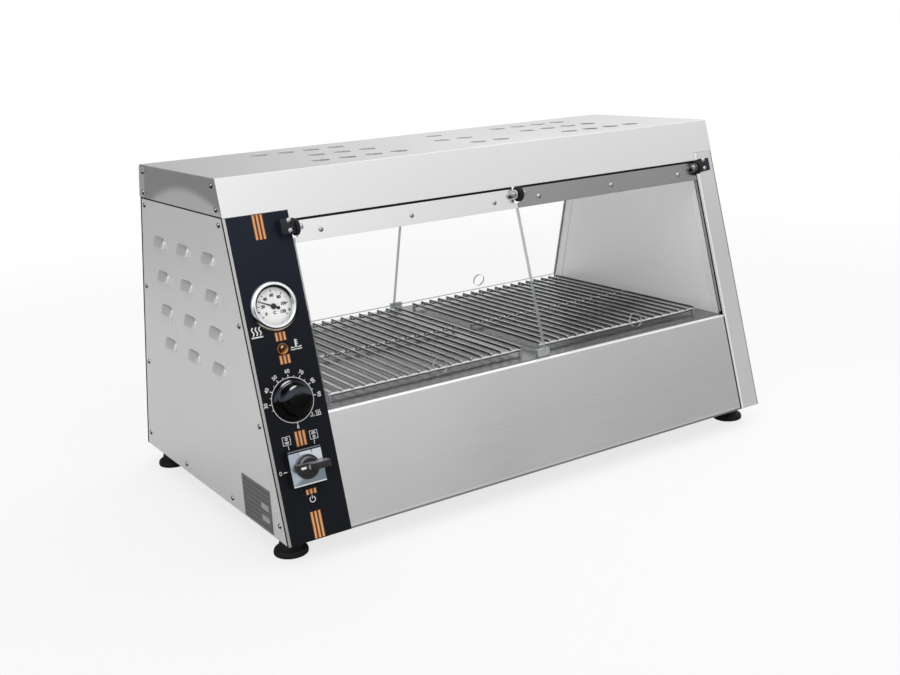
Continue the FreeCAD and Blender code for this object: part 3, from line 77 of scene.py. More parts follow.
class Socket:
    """A shader socket that takes part in Python arithmetic."""

    def __init__(self, board: "Board", link: bpy.types.NodeSocket) -> None:
        """Keep the socket and the board that it belongs to."""
        self.board = board
        self.link = link

    def _math(self, operation: str, *terms: "Socket | float") -> "Socket":
        """Return the result of a Math node on these terms."""
        return self.board.socket("ShaderNodeMath", {"operation": operation}, dict(enumerate(terms)))

    def __add__(self, other: "Socket | float") -> "Socket":
        """Return the sum."""
        return self._math("ADD", self, other)

    def __radd__(self, other: float) -> "Socket":
        """Return the sum, with the number first."""
        return self._math("ADD", other, self)

    def __sub__(self, other: "Socket | float") -> "Socket":
        """Return the difference."""
        return self._math("SUBTRACT", self, other)

    def __rsub__(self, other: float) -> "Socket":
        """Return the difference, with the number first."""
        return self._math("SUBTRACT", other, self)

    def __mul__(self, other: "Socket | float") -> "Socket":
        """Return the product."""
        return self._math("MULTIPLY", self, other)

    def __rmul__(self, other: float) -> "Socket":
        """Return the product, with the number first."""
        return self._math("MULTIPLY", other, self)

    def __truediv__(self, other: "Socket | float") -> "Socket":
        """Return the quotient."""
        return self._math("DIVIDE", self, other)

    def __gt__(self, other: "Socket | float") -> "Socket":
        """Return 1 where this is the greater, and 0 elsewhere."""
        return self._math("GREATER_THAN", self, other)

    def __abs__(self) -> "Socket":
        """Return the size without its sign."""
        return self._math("ABSOLUTE", self)

    def most(self, other: "Socket | float") -> "Socket":
        """Return the larger of the two."""
        return self._math("MAXIMUM", self, other)


class Board:
    """The node tree of one material or of the world."""

    def __init__(self, tree: bpy.types.NodeTree) -> None:
        """Start with an empty tree."""
        self.tree = tree
        tree.nodes.clear()

    def node(self, kind: str, settings: dict | None = None, sockets: dict | None = None) -> bpy.types.Node:
        """Add a node.

        Args:
            kind: the node's type.
            settings: its properties, which are set first.
            sockets: values or links of its inputs, by name or number.

        Returns:
            The new node.
        """
        node = self.tree.nodes.new(kind)
        for name, value in (settings or {}).items():
            setattr(node, name, value)
        for name, value in (sockets or {}).items():
            if isinstance(value, Socket):
                self.tree.links.new(value.link, node.inputs[name])
            else:
                node.inputs[name].default_value = value
        return node

    def socket(
        self, kind: str, settings: dict | None = None, sockets: dict | None = None, output: int | str = 0
    ) -> Socket:
        """Add a node, as node does, and return one of its outputs, by name or number."""
        return Socket(self, self.node(kind, settings, sockets).outputs[output])

    def place(self, stretch: Point = (1, 1, 1)) -> Socket:
        """Return the object's own coordinates, stretched along its axes."""
        spot = self.socket("ShaderNodeTexCoord", output="Object")
        return self.socket("ShaderNodeMapping", sockets={"Vector": spot, "Scale": stretch})

    def axes(self, vector: Socket) -> tuple[Socket, Socket, Socket]:
        """Return the three parts of a vector."""
        node = self.node("ShaderNodeSeparateXYZ", sockets={"Vector": vector})
        x, y, z = (Socket(self, output) for output in node.outputs)
        return x, y, z

    def across(self) -> Socket:
        """Return the place from left to right, in millimetres."""
        return self.axes(self.place())[0] / MM

    def ray(self, kind: str) -> Socket:
        """Return one for rays of a kind, such as Camera, and zero for others."""
        return self.socket("ShaderNodeLightPath", output=f"Is {kind} Ray")

    def dot(self, vector: Socket, way: Point) -> Socket:
        """Return how far a vector runs along a way."""
        settings = {"operation": "DOT_PRODUCT"}
        return self.socket("ShaderNodeVectorMath", settings, {0: vector, 1: way}, output="Value")

    def noise(self, place: Socket, scale: float, detail: float = 2.0) -> Socket:
        """Return soft noise between 0 and 1."""
        return self.socket("ShaderNodeTexNoise", sockets={"Vector": place, "Scale": scale, "Detail": detail})

    def ramp(self, value: Socket, low: float, high: float) -> Socket:
        """Return 0 below the low mark, 1 above the high mark and a smooth rise between."""
        return self.socket(
            "ShaderNodeMapRange",
            {"interpolation_type": "SMOOTHSTEP"},
            {"Value": value, "From Min": low, "From Max": high},
        )

    def tint(self, factor: Socket, first: "Socket | Colour", second: "Socket | Colour") -> Socket:
        """Return a colour between two, by a factor."""
        ends = [colour if isinstance(colour, Socket) else (*colour, 1) for colour in (first, second)]
        sockets = {0: factor, 6: ends[0], 7: ends[1]}
        return self.socket("ShaderNodeMix", {"data_type": "RGBA"}, sockets, output=2)

    def rise(self) -> Socket:
        """Return the height up the nearer leaning face, in millimetres."""
        forward, upward = self._from_foot()
        return upward * LEAN_COS - forward * LEAN_SIN

    def stand(self) -> Socket:
        """Return the distance in front of the nearer leaning face, in millimetres."""
        forward, upward = self._from_foot()
        return forward * LEAN_COS + upward * LEAN_SIN

    def _from_foot(self) -> tuple[Socket, Socket]:
        """Return the level and the upright distance from the nearer face's foot, in millimetres."""
        _, y, z = self.axes(self.place())
        return abs(y) / MM - BASE_DEPTH / 2, z / MM - FOOT_HEIGHT

    def facing(self, way: Point) -> Socket:
        """Return how far the surface is turned towards a way in the scene, from -1 to 1."""
        normal = self.socket("ShaderNodeNewGeometry", output="Normal")
        return self.dot(normal, way)

    def soft_edges(self, radius: float) -> Socket:
        """Return normals that round the edges off, with a radius in millimetres."""
        return self.socket("ShaderNodeBevel", {"samples": 4}, {"Radius": radius * MM})

    def bump(self, height: Socket, depth: float, normal: Socket) -> Socket:
        """Return normals roughened by a height, with a depth in millimetres."""
        sockets = {"Height": height, "Strength": 1.0, "Distance": depth * MM, "Normal": normal}
        return self.socket("ShaderNodeBump", sockets=sockets)

    def principled(self, **sockets: "Socket | float | Colour") -> Socket:
        """Return a Principled shader; words of a socket's name are joined by underscores."""
        named = {}
        for name, value in sockets.items():
            plain = isinstance(value, tuple)
            named[name.replace("_", " ")] = (*value, 1) if plain else value
        return self.socket("ShaderNodeBsdfPrincipled", sockets=named)

    def mix(self, factor: "Socket | float", first: Socket, second: Socket) -> Socket:
        """Return a mix of two shaders."""
        return self.socket("ShaderNodeMixShader", sockets={0: factor, 1: first, 2: second})

    def finish(self, shader: Socket, kind: str = "ShaderNodeOutputMaterial") -> None:
        """Lead a shader to the output."""
        self.node(kind, sockets={"Surface": shader})


class Grain(Enum):
    """The way a sheet is brushed: how far its streaks are stretched along X, Y and Z."""

    ACROSS = (5.0, 800.0, 800.0)
    DEEP = (800.0, 5.0, 800.0)
    UPRIGHT = (800.0, 800.0, 5.0)


@dataclass(frozen=True)
class Finish:
    """A finish that turns into one material."""

    name: str

    def shade(self, board: Board) -> Socket:
        """Build the shader on a board and return it."""
        raise NotImplementedError


@functools.cache
def material(finish: Finish) -> bpy.types.Material:
    """Return a finish's material, made once."""
    made = bpy.data.materials.new(finish.name)
    made.use_nodes = True
    board = Board(made.node_tree)
    board.finish(finish.shade(board))
    return made


@dataclass(frozen=True)
class Layer:
    """Painted light or shade: a colour that covers a finish where a measure of the surface rises from one
    mark to another.
    """

    colour: Colour
    low: float
    high: float
    way: Point | None = None

    def over(self, board: Board, plain: Socket) -> Socket:
        """Lay the painted colour over another, where the surface is turned to a way or is up the leaning
        face.
        """
        measure = board.facing(self.way) if self.way else board.rise()
        return board.tint(board.ramp(measure, self.low, self.high), plain, self.colour)


@dataclass(frozen=True)
class TwoTone(Finish):
    """A finish whose colour wanders between two tones, with painted light and shade laid over them."""

    dark: Colour = BLACK
    light: Colour = WHITE
    painted_layers: tuple[Layer, ...] = field(default=(), kw_only=True)

    def colour(self, board: Board, tone: Socket) -> Socket:
        """Return the colour of a tone between 0 and 1, with the painted light and shade laid over it."""
        colour = board.tint(tone, self.dark, self.light)
        for layer in self.painted_layers:
            colour = layer.over(board, colour)
        return colour


@dataclass(frozen=True)
class BrushedSteel(TwoTone):
    """Stainless sheet: fine streaks, faint smudges and softly folded edges."""

    dark: Colour = grey(0.80)
    light: Colour = grey(0.88)
    grain: Grain = Grain.ACROSS
    roughness: float = 0.24
    edge: float = 0.7
    metallic: float = 1.0
    # strength of a painted glow: emission that stands in for light on a sheet inside the cabinet
    glow: float = 0.0
    streak_share: float = 0.45
    streak_depth: float = 0.0012
    unevenness: float = 0.08

    def gloss(self, board: Board) -> "Socket | float":
        """Return how far the sheet mirrors what is round it."""
        return self.metallic

    def painted_light(self, board: Board) -> "Socket | Colour":
        """Return the painted glow of a sheet that lies inside the cabinet: emission that stands in for light.
        """
        return grey(self.glow)

    def shade(self, board: Board) -> Socket:
        """Build the steel's shader."""
        streaks = board.noise(board.place(self.grain.value), 1.0, 3.0)
        smudge = board.noise(board.place(), 7.0, 3.0)
        tone = smudge * (1 - self.streak_share) + streaks * self.streak_share
        rough = self.roughness + (streaks + smudge - 1) * self.unevenness
        return board.principled(
            Base_Color=self.colour(board, tone),
            Metallic=self.gloss(board),
            # painted light: emission that stands in for light falling on the sheet
            Emission_Color=self.painted_light(board),
            Emission_Strength=1.0,
            Roughness=rough,
            Normal=board.bump(streaks, self.streak_depth, board.soft_edges(self.edge)),
        )


@dataclass(frozen=True)
class CapSteel(BrushedSteel):
    """The hood caps' sheet, with a painted reflection: a pale arch low on it, under a darker upper corner."""

    # colour of the painted reflection, and where its arch stands on the cap
    pale: Colour = (0.86, 0.86, 0.865)
    foot: float = 0.437
    arch_middle: float = -0.030
    arch_half: float = 0.140
    arch_height: float = 0.029

    def colour(self, board: Board, tone: Socket) -> Socket:
        """Return the cap's colour, with the painted reflection paler under the arch."""
        _, y, z = board.axes(board.place())
        across = (y - self.arch_middle) / self.arch_half
        arch = self.foot + self.arch_height * (1 - across * across)
        # painted reflection: the pale arch low on the cap
        under = board.ramp(arch - z, -0.005, 0.010)
        return board.tint(under * (0.8 + tone * 0.4), super().colour(board, tone), self.pale)


@dataclass(frozen=True)
class FoldedSteel(BrushedSteel):
    """The lower panels' sheet, with a painted highlight line where its upper edge folds in, and painted shade
    along its hem under a faint painted highlight line.
    """

    fold: float = 153.3
    # strengths of the painted highlight lines along the fold and over the hem; the hem's colour is painted
    # shade
    line: float = 0.42
    hem: float = 2.4
    hem_highlight: float = 0.06
    hem_shade: Colour = (0.36, 0.36, 0.365)

    def colour(self, board: Board, tone: Socket) -> Socket:
        """Return the panel's colour, with painted shade along its hem."""
        above = board.ramp(board.rise(), self.hem, self.hem + 0.8)
        return board.tint(above, self.hem_shade, super().colour(board, tone))

    def painted_light(self, board: Board) -> "Socket | Colour":
        """Return the painted highlight lines, as emission, along the fold and over the hem."""
        rise = board.rise()
        fold = board.ramp(rise, self.fold, self.fold + 0.7)
        hem = board.ramp(rise, self.hem, self.hem + 0.8)
        hem *= 1 - board.ramp(rise, self.hem + 2.4, self.hem + 3.4)
        return board.tint(fold * self.line + hem * self.hem_highlight, BLACK, WHITE)


@dataclass(frozen=True)
class HoodSteel(BrushedSteel):
    """The hood's sheet: painted shade darkens its top towards both ends, and a painted reflection makes its
    faces paler to the right.
    """

    half_length: float = 0.42
    # colours of the painted shade on the top and of the painted reflection on the faces
    shaded: Colour = grey(0.73)
    pale: Colour = grey(0.945)

    def colour(self, board: Board, tone: Socket) -> Socket:
        """Return the hood's colour, with its painted shade and painted reflection."""
        x = board.axes(board.place())[0]
        level = board.ramp(board.facing((0.0, 0.0, 1.0)), 0.6, 0.9)
        right = board.ramp(x, -self.half_length, self.half_length)
        # painted reflection: faces paler towards the right
        faces = board.tint(right * (1 - level), super().colour(board, tone), self.pale)
        # painted shade: the top darker towards both ends
        return board.tint(board.ramp(abs(x + 0.03), 0.02, 0.38) * level, faces, self.shaded)


@dataclass(frozen=True)
class PostSteel(BrushedSteel):
    """The posts' sheet: painted shade darkens their inner returns beside the doors, and a painted glow lights
    them further in.
    """

    # depth of the painted shade on the returns, and strengths of the painted light on the deep returns, along
    # the inner fold and low on the post
    shaded_depth: float = 9.5
    inner_light: float = 0.17
    inner_edge: float = 385.0
    fold_rise: tuple[float, float] = (2.6, 3.8)
    fold_fall: tuple[float, float] = (5.6, 7.2)
    fold_light: float = 0.22
    low_light: float = 0.10
    outer_line: float = 422.4

    def _return(self, board: Board) -> Socket:
        """Return one on the faces that look along the doors, zero elsewhere."""
        return board.ramp(abs(board.facing((1.0, 0.0, 0.0))), 0.8, 0.95)

    def _deep(self, board: Board) -> Socket:
        """Return one behind the shaded edge of a return, zero in front of it."""
        return 1 - board.ramp(board.stand(), -self.shaded_depth, 2 - self.shaded_depth)

    def colour(self, board: Board, tone: Socket) -> Socket:
        """Return the post's colour, with painted shade on the front edge of its returns, and darker along its
        outer edge.
        """
        shaded = self._return(board) * (1 - self._deep(board))
        # painted shade on the front edge of the returns
        plain = board.tint(shaded, super().colour(board, tone), (0.05, 0.05, 0.052))
        outer = board.ramp(abs(board.across()), self.outer_line, self.outer_line + 0.9)
        return board.tint(outer, plain, (0.38, 0.38, 0.385))

    def gloss(self, board: Board) -> "Socket | float":
        """Return the mirroring, weaker on the deep part of the returns."""
        return 1 - self._return(board) * self._deep(board) * 0.65

    def painted_light(self, board: Board) -> "Socket | Colour":
        """Return the painted light, as emission, on the deep part of the returns, along the inner fold and
        low on the post.
        """
        past_edge = abs(board.across()) - self.inner_edge
        deep = self._return(board) * self._deep(board) * self.inner_light
        line = board.ramp(past_edge, *self.fold_rise) * (1 - board.ramp(past_edge, *self.fold_fall))
        low = (1 - board.ramp(board.rise(), 60.0, 330.0)) * (1 - self._return(board))
        # painted light: emission that stands in for light on the post
        light = deep + line * self.fold_light + low * self.low_light
        return board.tint(light, BLACK, WHITE)


@dataclass(frozen=True)
class PlatedMetal(TwoTone):
    """Polished or plated metal with faint clouding."""

    roughness: float = 0.09
    scale: float = 90.0
    edge: float = 0.3

    def shade(self, board: Board) -> Socket:
        """Build the plating's shader."""
        cloud = board.noise(board.place(), self.scale, 3.0)
        return board.principled(
            Base_Color=self.colour(board, cloud),
            Metallic=1.0,
            Roughness=self.roughness + (cloud - 0.5) * 0.12,
            Normal=board.soft_edges(self.edge),
        )


@dataclass(frozen=True)
class SatinPlate(PlatedMetal):
    """A satin plate with a painted reflection of a bright window at its upper right and of a dark room below.
    """

    # colours of the painted reflections and of the painted shadow under the rail
    window: Colour = (0.86, 0.92, 1.0)
    room: Colour = (0.26, 0.32, 0.36)
    rail_shadow: Colour = (0.02, 0.02, 0.024)
    rail: Colour = (0.26, 0.28, 0.30)
    middle: tuple[float, float] = (-383.0, 95.0)

    def colour(self, board: Board, cloud: Socket) -> Socket:
        """Return the plate's colour, with the painted reflections, a painted shadow under its upper rail and
        a painted highlight on its lower edge.
        """
        x = board.across() - self.middle[0]
        rise = board.rise() - self.middle[1]
        low = board.ramp(x * 0.5 - rise * 0.85, 4.0, 10.0)
        # painted reflection of a dark room on the lower part
        face = board.tint(low, super().colour(board, cloud), self.room)
        # painted reflection of a bright window at the upper right
        face = board.tint(board.ramp(x * 0.6 + rise * 0.8, 6.0, 14.0), face, self.window)
        # painted highlight along the lower edge
        face = board.tint(board.ramp(-1 * rise, 21.0, 21.8), face, WHITE)
        # painted shadow under the upper rail
        face = board.tint(board.ramp(rise, 19.6, 20.2), face, self.rail_shadow)
        return board.tint(board.ramp(rise, 21.4, 22.0), face, self.rail)


@dataclass(frozen=True)
class Moulding(TwoTone):
    """Moulded plastic or rubber, with the mould's fine grain."""

    roughness: float = 0.35
    grain: float = 900.0
    depth: float = 0.02
    specular: float = 0.4
    edge: float = 0.5

    def shade(self, board: Board) -> Socket:
        """Build the moulding's shader."""
        grain = board.noise(board.place(), self.grain, 2.0)
        cloud = board.noise(board.place(), 60.0, 2.0)
        return board.principled(
            Base_Color=self.colour(board, cloud),
            Roughness=self.roughness + (grain - 0.5) * 0.12 + (cloud - 0.5) * 0.08,
            Specular_IOR_Level=self.specular,
            Normal=board.bump(grain, self.depth, board.soft_edges(self.edge)),
        )


@dataclass(frozen=True)
class Lacquer(TwoTone):
    """Deep lacquer with a painted reflection, a cool sheen, on what is turned up the leaning face."""

    upward: Point = (0.0, LEAN_SIN, LEAN_COS)

    def shade(self, board: Board) -> Socket:
        """Build the lacquer's shader."""
        lift = board.facing(self.upward)
        cloud = board.noise(board.place(), 160.0, 2.0)
        # painted reflection: a cool sheen band where the surface turns up the face
        band = board.ramp(lift, 0.05, 0.12) * (1 - board.ramp(lift, 0.18, 0.6)) * (0.85 + cloud * 0.3)
        return board.principled(
            Base_Color=self.colour(board, band), Roughness=0.05 + cloud * 0.04, Specular_IOR_Level=0.07
        )


@dataclass(frozen=True)
class Ink(TwoTone):
    """Screen-printed ink with a little unevenness in its coverage."""

    dark: Colour = grey(0.72)
    light: Colour = grey(0.86)

    def shade(self, board: Board) -> Socket:
        """Build the ink's shader."""
        cover = board.noise(board.place(), 500.0, 3.0)
        return board.principled(Base_Color=self.colour(board, cover), Roughness=0.45 + (cover - 0.5) * 0.1)


@dataclass(frozen=True)
class ClearSheet(Finish):
    """Clear glass or plastic: a mirror-like skin over a see-through body, with darker cut edges."""

    body: Colour = (0.9975, 0.9990, 0.9985)
    rim: Colour = (0.16, 0.19, 0.18)
    facing: Point = (0.0, -LEAN_COS, LEAN_SIN)  # out of the front face
    gloss: float = 0.6

    def shade(self, board: Board) -> Socket:
        """Build the clear sheet's shader."""
        clear = board.socket("ShaderNodeBsdfTransparent", sockets={"Color": (*self.body, 1)})
        smear = board.noise(board.place(), 9.0, 3.0)
        skin = board.principled(Base_Color=(0.95, 0.96, 0.96), Metallic=1.0, Roughness=0.02 + smear * 0.03)
        shine = board.socket("ShaderNodeFresnel", sockets={"IOR": 1.45})
        leaving = board.socket("ShaderNodeNewGeometry", output="Backfacing")
        sheet = board.mix(shine * self.gloss * (1 - leaving), clear, skin)
        cut = board.principled(Base_Color=self.rim, Roughness=0.12 + smear * 0.1)
        normal = board.socket("ShaderNodeTexCoord", output="Normal")
        flat = abs(board.dot(normal, self.facing)) > 0.9
        return board.mix(flat, board.mix(0.3, cut, clear), sheet)


@dataclass(frozen=True)
class RolledChrome(TwoTone):
    """A rolled chrome ring: pale, with painted shade on its lower flank and a warm painted reflection at its
    very foot.
    """

    warm: Colour = (0.80, 0.70, 0.58)
    foot: Point = (0.0, -0.26, -0.97)
    middle: float = 0.3225

    def shade(self, board: Board) -> Socket:
        """Build the ring's shader."""
        cloud = board.noise(board.place(), 90.0, 2.0)
        below = board.ramp(self.middle - board.axes(board.place())[2], 0.0, 0.01)
        # painted reflection: a warm tint at the ring's foot
        foot = board.ramp(board.facing(self.foot), 0.42, 0.56) * below
        colour = board.tint(foot, self.colour(board, cloud), self.warm)
        return board.principled(Base_Color=colour, Metallic=0.8, Roughness=0.06 + cloud * 0.05)


@dataclass(frozen=True)
class TintedLens(TwoTone):
    """A coloured lamp lens: dark in the middle, with a painted glow where the light leaves it."""

    leaving: Point = (0.62, -0.20, -0.76)

    def shade(self, board: Board) -> Socket:
        """Build the lens's shader."""
        cloud = board.noise(board.place(), 220.0, 2.0)
        # painted light: the lens is lighter on the side turned to the leaving way
        glow = board.ramp(board.facing(self.leaving), -0.05, 0.6) * (0.8 + cloud * 0.4)
        rough = 0.06 + cloud * 0.06
        return board.principled(Base_Color=self.colour(board, glow), Roughness=rough, Specular_IOR_Level=0.25)


def shadow(way: Point, start: float) -> tuple[Layer]:
    """Return a layer of painted shade on plating where it is turned to a way."""
    return (Layer((0.012, 0.012, 0.013), start, start + 0.35, way),)


SHEET_ACROSS = BrushedSteel("sheet_across")
SHEET_HOOD = HoodSteel("sheet_hood")
SHEET_LOWER = FoldedSteel("sheet_lower")
SHEET_POST = PostSteel("sheet_post", grain=Grain.UPRIGHT)
REAR_POST = replace(SHEET_POST, name="rear_post", shaded_depth=4.5)
REAR_LEFT_POST = replace(REAR_POST, name="rear_left_post", inner_edge=335.0)
SHEET_SIDE = BrushedSteel("sheet_side", grey(0.88), grey(0.96), Grain.UPRIGHT, 0.3, metallic=0.6, edge=0.2)
SHEET_COLUMN = BrushedSteel(
    "sheet_column", (0.50, 0.50, 0.49), (0.60, 0.60, 0.59), Grain.UPRIGHT, edge=0.3
)
# painted shade: the caps' steel is a darker copy of the hood's steel
SHEET_CAP = CapSteel(
    "sheet_cap", (0.40, 0.40, 0.405), (0.50, 0.50, 0.505), Grain.DEEP, metallic=0.8, edge=0.3
)
# painted glow: emission that stands in for light on the inner walls and ceiling
SHEET_INNER = BrushedSteel(
    "sheet_inner", grey(0.74), grey(0.84), Grain.UPRIGHT, 0.4, metallic=0.35, glow=0.21
)
# painted shade: the deck's steel is painted dark for the dim inside of the cabinet
SHEET_DECK = BrushedSteel("sheet_deck", (0.19, 0.19, 0.20), (0.28, 0.28, 0.29), roughness=0.28)
# painted shadow of the hood's lip along the top of the door strips
LIP_SHADE = Layer((0.02, 0.02, 0.021), 405.3, 405.6)
# lit and shaded copies of the strip steel: the shaded copy is painted shade for the strips that stand in
# shade
STRIP_LIT = BrushedSteel("strip_lit", grey(0.86), grey(0.93), edge=0.2, painted_layers=(LIP_SHADE,))
STRIP_SHADED = replace(STRIP_LIT, name="strip_shaded", dark=(0.32, 0.32, 0.325), light=(0.42, 0.42, 0.425))
# painted shade on the hinge pins and nuts where they turn downwards
CHROME = PlatedMetal(
    "chrome_plate", (0.36, 0.37, 0.38), (0.60, 0.61, 0.62), 0.1, painted_layers=shadow((0.25, 0.25, -0.93), 0.0)
)
# the layer is painted shade on the ring's lower flank
BEZEL_CHROME = RolledChrome(
    "bezel_chrome", (0.80, 0.82, 0.88), (0.95, 0.96, 0.98),
    painted_layers=(Layer((0.010, 0.010, 0.011), -0.20, -0.04, (0.26, 0.0, -0.97)),),
)
# painted shade on the screws where they turn down and to the right
ZINC = PlatedMetal(
    "zinc_plate", (0.42, 0.42, 0.43), (0.74, 0.74, 0.75), 0.14, 400.0, painted_layers=shadow((0.70, 0.1, -0.70), -0.2)
)
# the same plating with its painted shade turned down and to the front, for the side panel's screws
SIDE_ZINC = replace(ZINC, name="side_zinc_plate", painted_layers=shadow((0.0, -0.70, -0.70), 0.2))
# painted shade on the wires where they turn downwards
WIRE = PlatedMetal(
    "wire_plate", (0.66, 0.66, 0.67), (0.90, 0.90, 0.91), 0.14, 160.0,
    painted_layers=shadow((0.3, 0.35, -0.89), -0.25),
)
ELEMENT = PlatedMetal("heated_sheath", (0.10, 0.08, 0.07), (0.22, 0.19, 0.17), 0.45, 120.0)
SILVER_PLATE = SatinPlate("silver_anodised", (0.52, 0.59, 0.68), (0.62, 0.69, 0.78), 0.34, 500.0)
FILM = Moulding(
    "overlay_film", (0.006, 0.007, 0.010), (0.009, 0.010, 0.015), 0.4, depth=0.004, specular=0.1,
    # painted reflection: a bluish sheen that grows up the overlay
    painted_layers=(Layer((0.0145, 0.0185, 0.031), 200.0, 420.0),),
)
# the light tone is the painted sheen; the layer is a painted glint
GLOSS_BLACK = Lacquer(
    "gloss_black", (0.0028, 0.0028, 0.0030), (0.050, 0.056, 0.070),
    painted_layers=(Layer((0.62, 0.64, 0.70), 0.975, 0.995, (-0.20, -0.62, 0.76)),),
)
SATIN_BLACK = Moulding("satin_black", (0.008, 0.008, 0.009), (0.014, 0.014, 0.016), 0.4, specular=0.25)
SLATE = Moulding("slate_block", (0.011, 0.014, 0.020), (0.018, 0.022, 0.031), 0.42, specular=0.25)
HANDLE_GREY = Moulding(
    "handle_grey", (0.014, 0.014, 0.016), (0.024, 0.024, 0.027), 0.32, specular=0.3,
    # painted highlight on the handle where it turns up and to the left
    painted_layers=(Layer((0.24, 0.24, 0.25), 0.45, 0.95, (-0.40, 0.10, 0.91)),),
)
# painted shade: the dark fill of the joints' gaps
JOINT_SHADE = Moulding("joint_shade_fill", grey(0.006), grey(0.012), 0.7, depth=0.01, specular=0.05, edge=0.1)
AMBER_COLLAR = Moulding("amber_collar", (0.17, 0.065, 0.014), (0.30, 0.13, 0.03), 0.25, depth=0.004)
RUBBER = Moulding("foot_rubber", grey(0.008), grey(0.016), 0.6, grain=500.0, depth=0.06, specular=0.2)
GREY_CASE = Moulding("grey_case", (0.16, 0.165, 0.17), (0.24, 0.245, 0.25), 0.5)
CERAMIC = Moulding("terminal_ceramic", (0.55, 0.53, 0.48), (0.68, 0.66, 0.60), 0.55, grain=300.0)
ENAMEL = Moulding("dial_enamel", (0.97, 0.985, 0.96), (1.0, 1.0, 0.99), 0.4, depth=0.002, edge=0.1)
NEEDLE_PAINT = Moulding("needle_paint", (0.010, 0.010, 0.012), (0.020, 0.020, 0.022), 0.4, edge=0.05)
LABEL_GREY = Moulding("label_grey", (0.085, 0.086, 0.088), (0.125, 0.126, 0.128), 0.4, depth=0.004, edge=0.05)
WHITE_INK = Ink("white_ink")
ORANGE_INK = Ink("orange_ink", (0.74, 0.33, 0.12), (0.84, 0.41, 0.165))
BROWN_INK = Ink("brown_ink", (0.095, 0.020, 0.001), (0.125, 0.030, 0.003))
DARK_INK = Ink("dark_ink", (0.018, 0.018, 0.020), (0.035, 0.035, 0.038))
LABEL_INK = Ink("label_ink", (0.36, 0.36, 0.37), (0.48, 0.48, 0.49))
FRONT_GLASS = ClearSheet("front_door_glass", rim=(0.50, 0.55, 0.53))
REAR_GLASS = ClearSheet("rear_door_glass", facing=(0.0, LEAN_COS, LEAN_SIN))
DIAL_GLASS = ClearSheet("dial_glass", rim=(0.3, 0.32, 0.32), gloss=0.25)
STOP_CLEAR = ClearSheet("stop_clear", body=(0.9, 0.92, 0.92), rim=(0.55, 0.58, 0.58), facing=(1.0, 0.0, 0.0))
# the light tone is the painted glow; the layer is a painted glint
AMBER = TintedLens(
    "amber_lens", (0.055, 0.018, 0.004), (0.90, 0.40, 0.085),
    painted_layers=(Layer((1.0, 0.86, 0.70), 0.93, 0.985, (-0.42, -0.62, 0.66)),),
)

NODE_FINISHES: dict[Finish, tuple[str, ...]] = {
    SHEET_ACROSS: ("base_pan",),
    SHEET_HOOD: ("hood_shell",),
    SHEET_LOWER: ("front_lower_panel", "rear_lower_panel"),
    SHEET_POST: ("front_right_post",),
    REAR_POST: ("rear_right_post",),
    REAR_LEFT_POST: ("rear_left_post",),
    SHEET_COLUMN: ("control_panel",),
    SHEET_SIDE: ("right_side_panel",),
    SHEET_CAP: ("hood_left_cap", "hood_right_cap"),
    SHEET_INNER: ("left_inner_wall", "right_inner_wall", "ceiling_panel"),
    SHEET_DECK: ("deck_plate",),
    STRIP_LIT: ("front_left_hinge_strip", "rear_right_hinge_strip"),
    STRIP_SHADED: ("front_right_hinge_strip", "rear_left_hinge_strip"),
    FILM: ("control_overlay",),
    FRONT_GLASS: ("front_left_glass", "front_right_glass"),
    REAR_GLASS: ("rear_left_glass", "rear_right_glass"),
    WIRE: ("left_grate", "right_grate"),
    STOP_CLEAR: ("door_stops",),
    GREY_CASE: ("thermostat_body", "switch_body", "thermometer_case"),
    ENAMEL: ("thermometer_dial",),
    DIAL_GLASS: ("thermometer_lens",),
    AMBER_COLLAR: ("pilot_lamp_body",),
    SATIN_BLACK: ("switch_base", "cable_gland"),
    SILVER_PLATE: ("switch_plate",),
    ELEMENT: ("bottom_heater", "top_heater"),
    ZINC: ("heater_clips", "sensor_bulbs", "foot_studs"),
    CERAMIC: ("terminal_block",),
    LABEL_GREY: ("rating_plate",),
}


@dataclass(frozen=True)
class LeaningFace:
    """A leaning face of the cabinet: X across it, Y up its slope and Z out of it, in millimetres."""

    rear: bool = False

    def matrix(self) -> Matrix:
        """Return the change from the face's millimetres to the scene's metres."""
        foot = Matrix.Translation((0, -BASE_DEPTH / 2 * MM, FOOT_HEIGHT * MM))
        tilt = Matrix.Rotation(math.pi / 2 - LEAN, 4, "X")
        flat = foot @ tilt @ Matrix.Scale(MM, 4)
        return Matrix.Rotation(math.pi, 4, "Z") @ flat if self.rear else flat

    def local(self, points: Iterable[Point]) -> list[Vector]:
        """Return points of the scene in the face's own frame."""
        back = self.matrix().inverted()
        return [back @ Vector(point) for point in points]

    def centre(self, node: str) -> Vector:
        """Return the middle of a node's box in the face's own frame, on the face."""
        low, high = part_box(node)
        spot = self.local([(low + high) / 2])[0]
        return Vector((spot.x, spot.y, 0))


FRONT = LeaningFace()
REAR = LeaningFace(rear=True)


def face_of(spot: Vector) -> LeaningFace:
    """Return the leaning face that a point of the scene lies nearer to."""
    return FRONT if spot.y < 0 else REAR


def ink_levels(level: float) -> tuple[float, float]:
    """Return the underside and the top of print on a surface."""
    return level - INK_SINK, level + INK_HEIGHT


def polar(radius: float, angle: float, height: float) -> Vector:
    """Return a point at an angle round the Z axis."""
    return Vector((radius * math.cos(angle), radius * math.sin(angle), height))


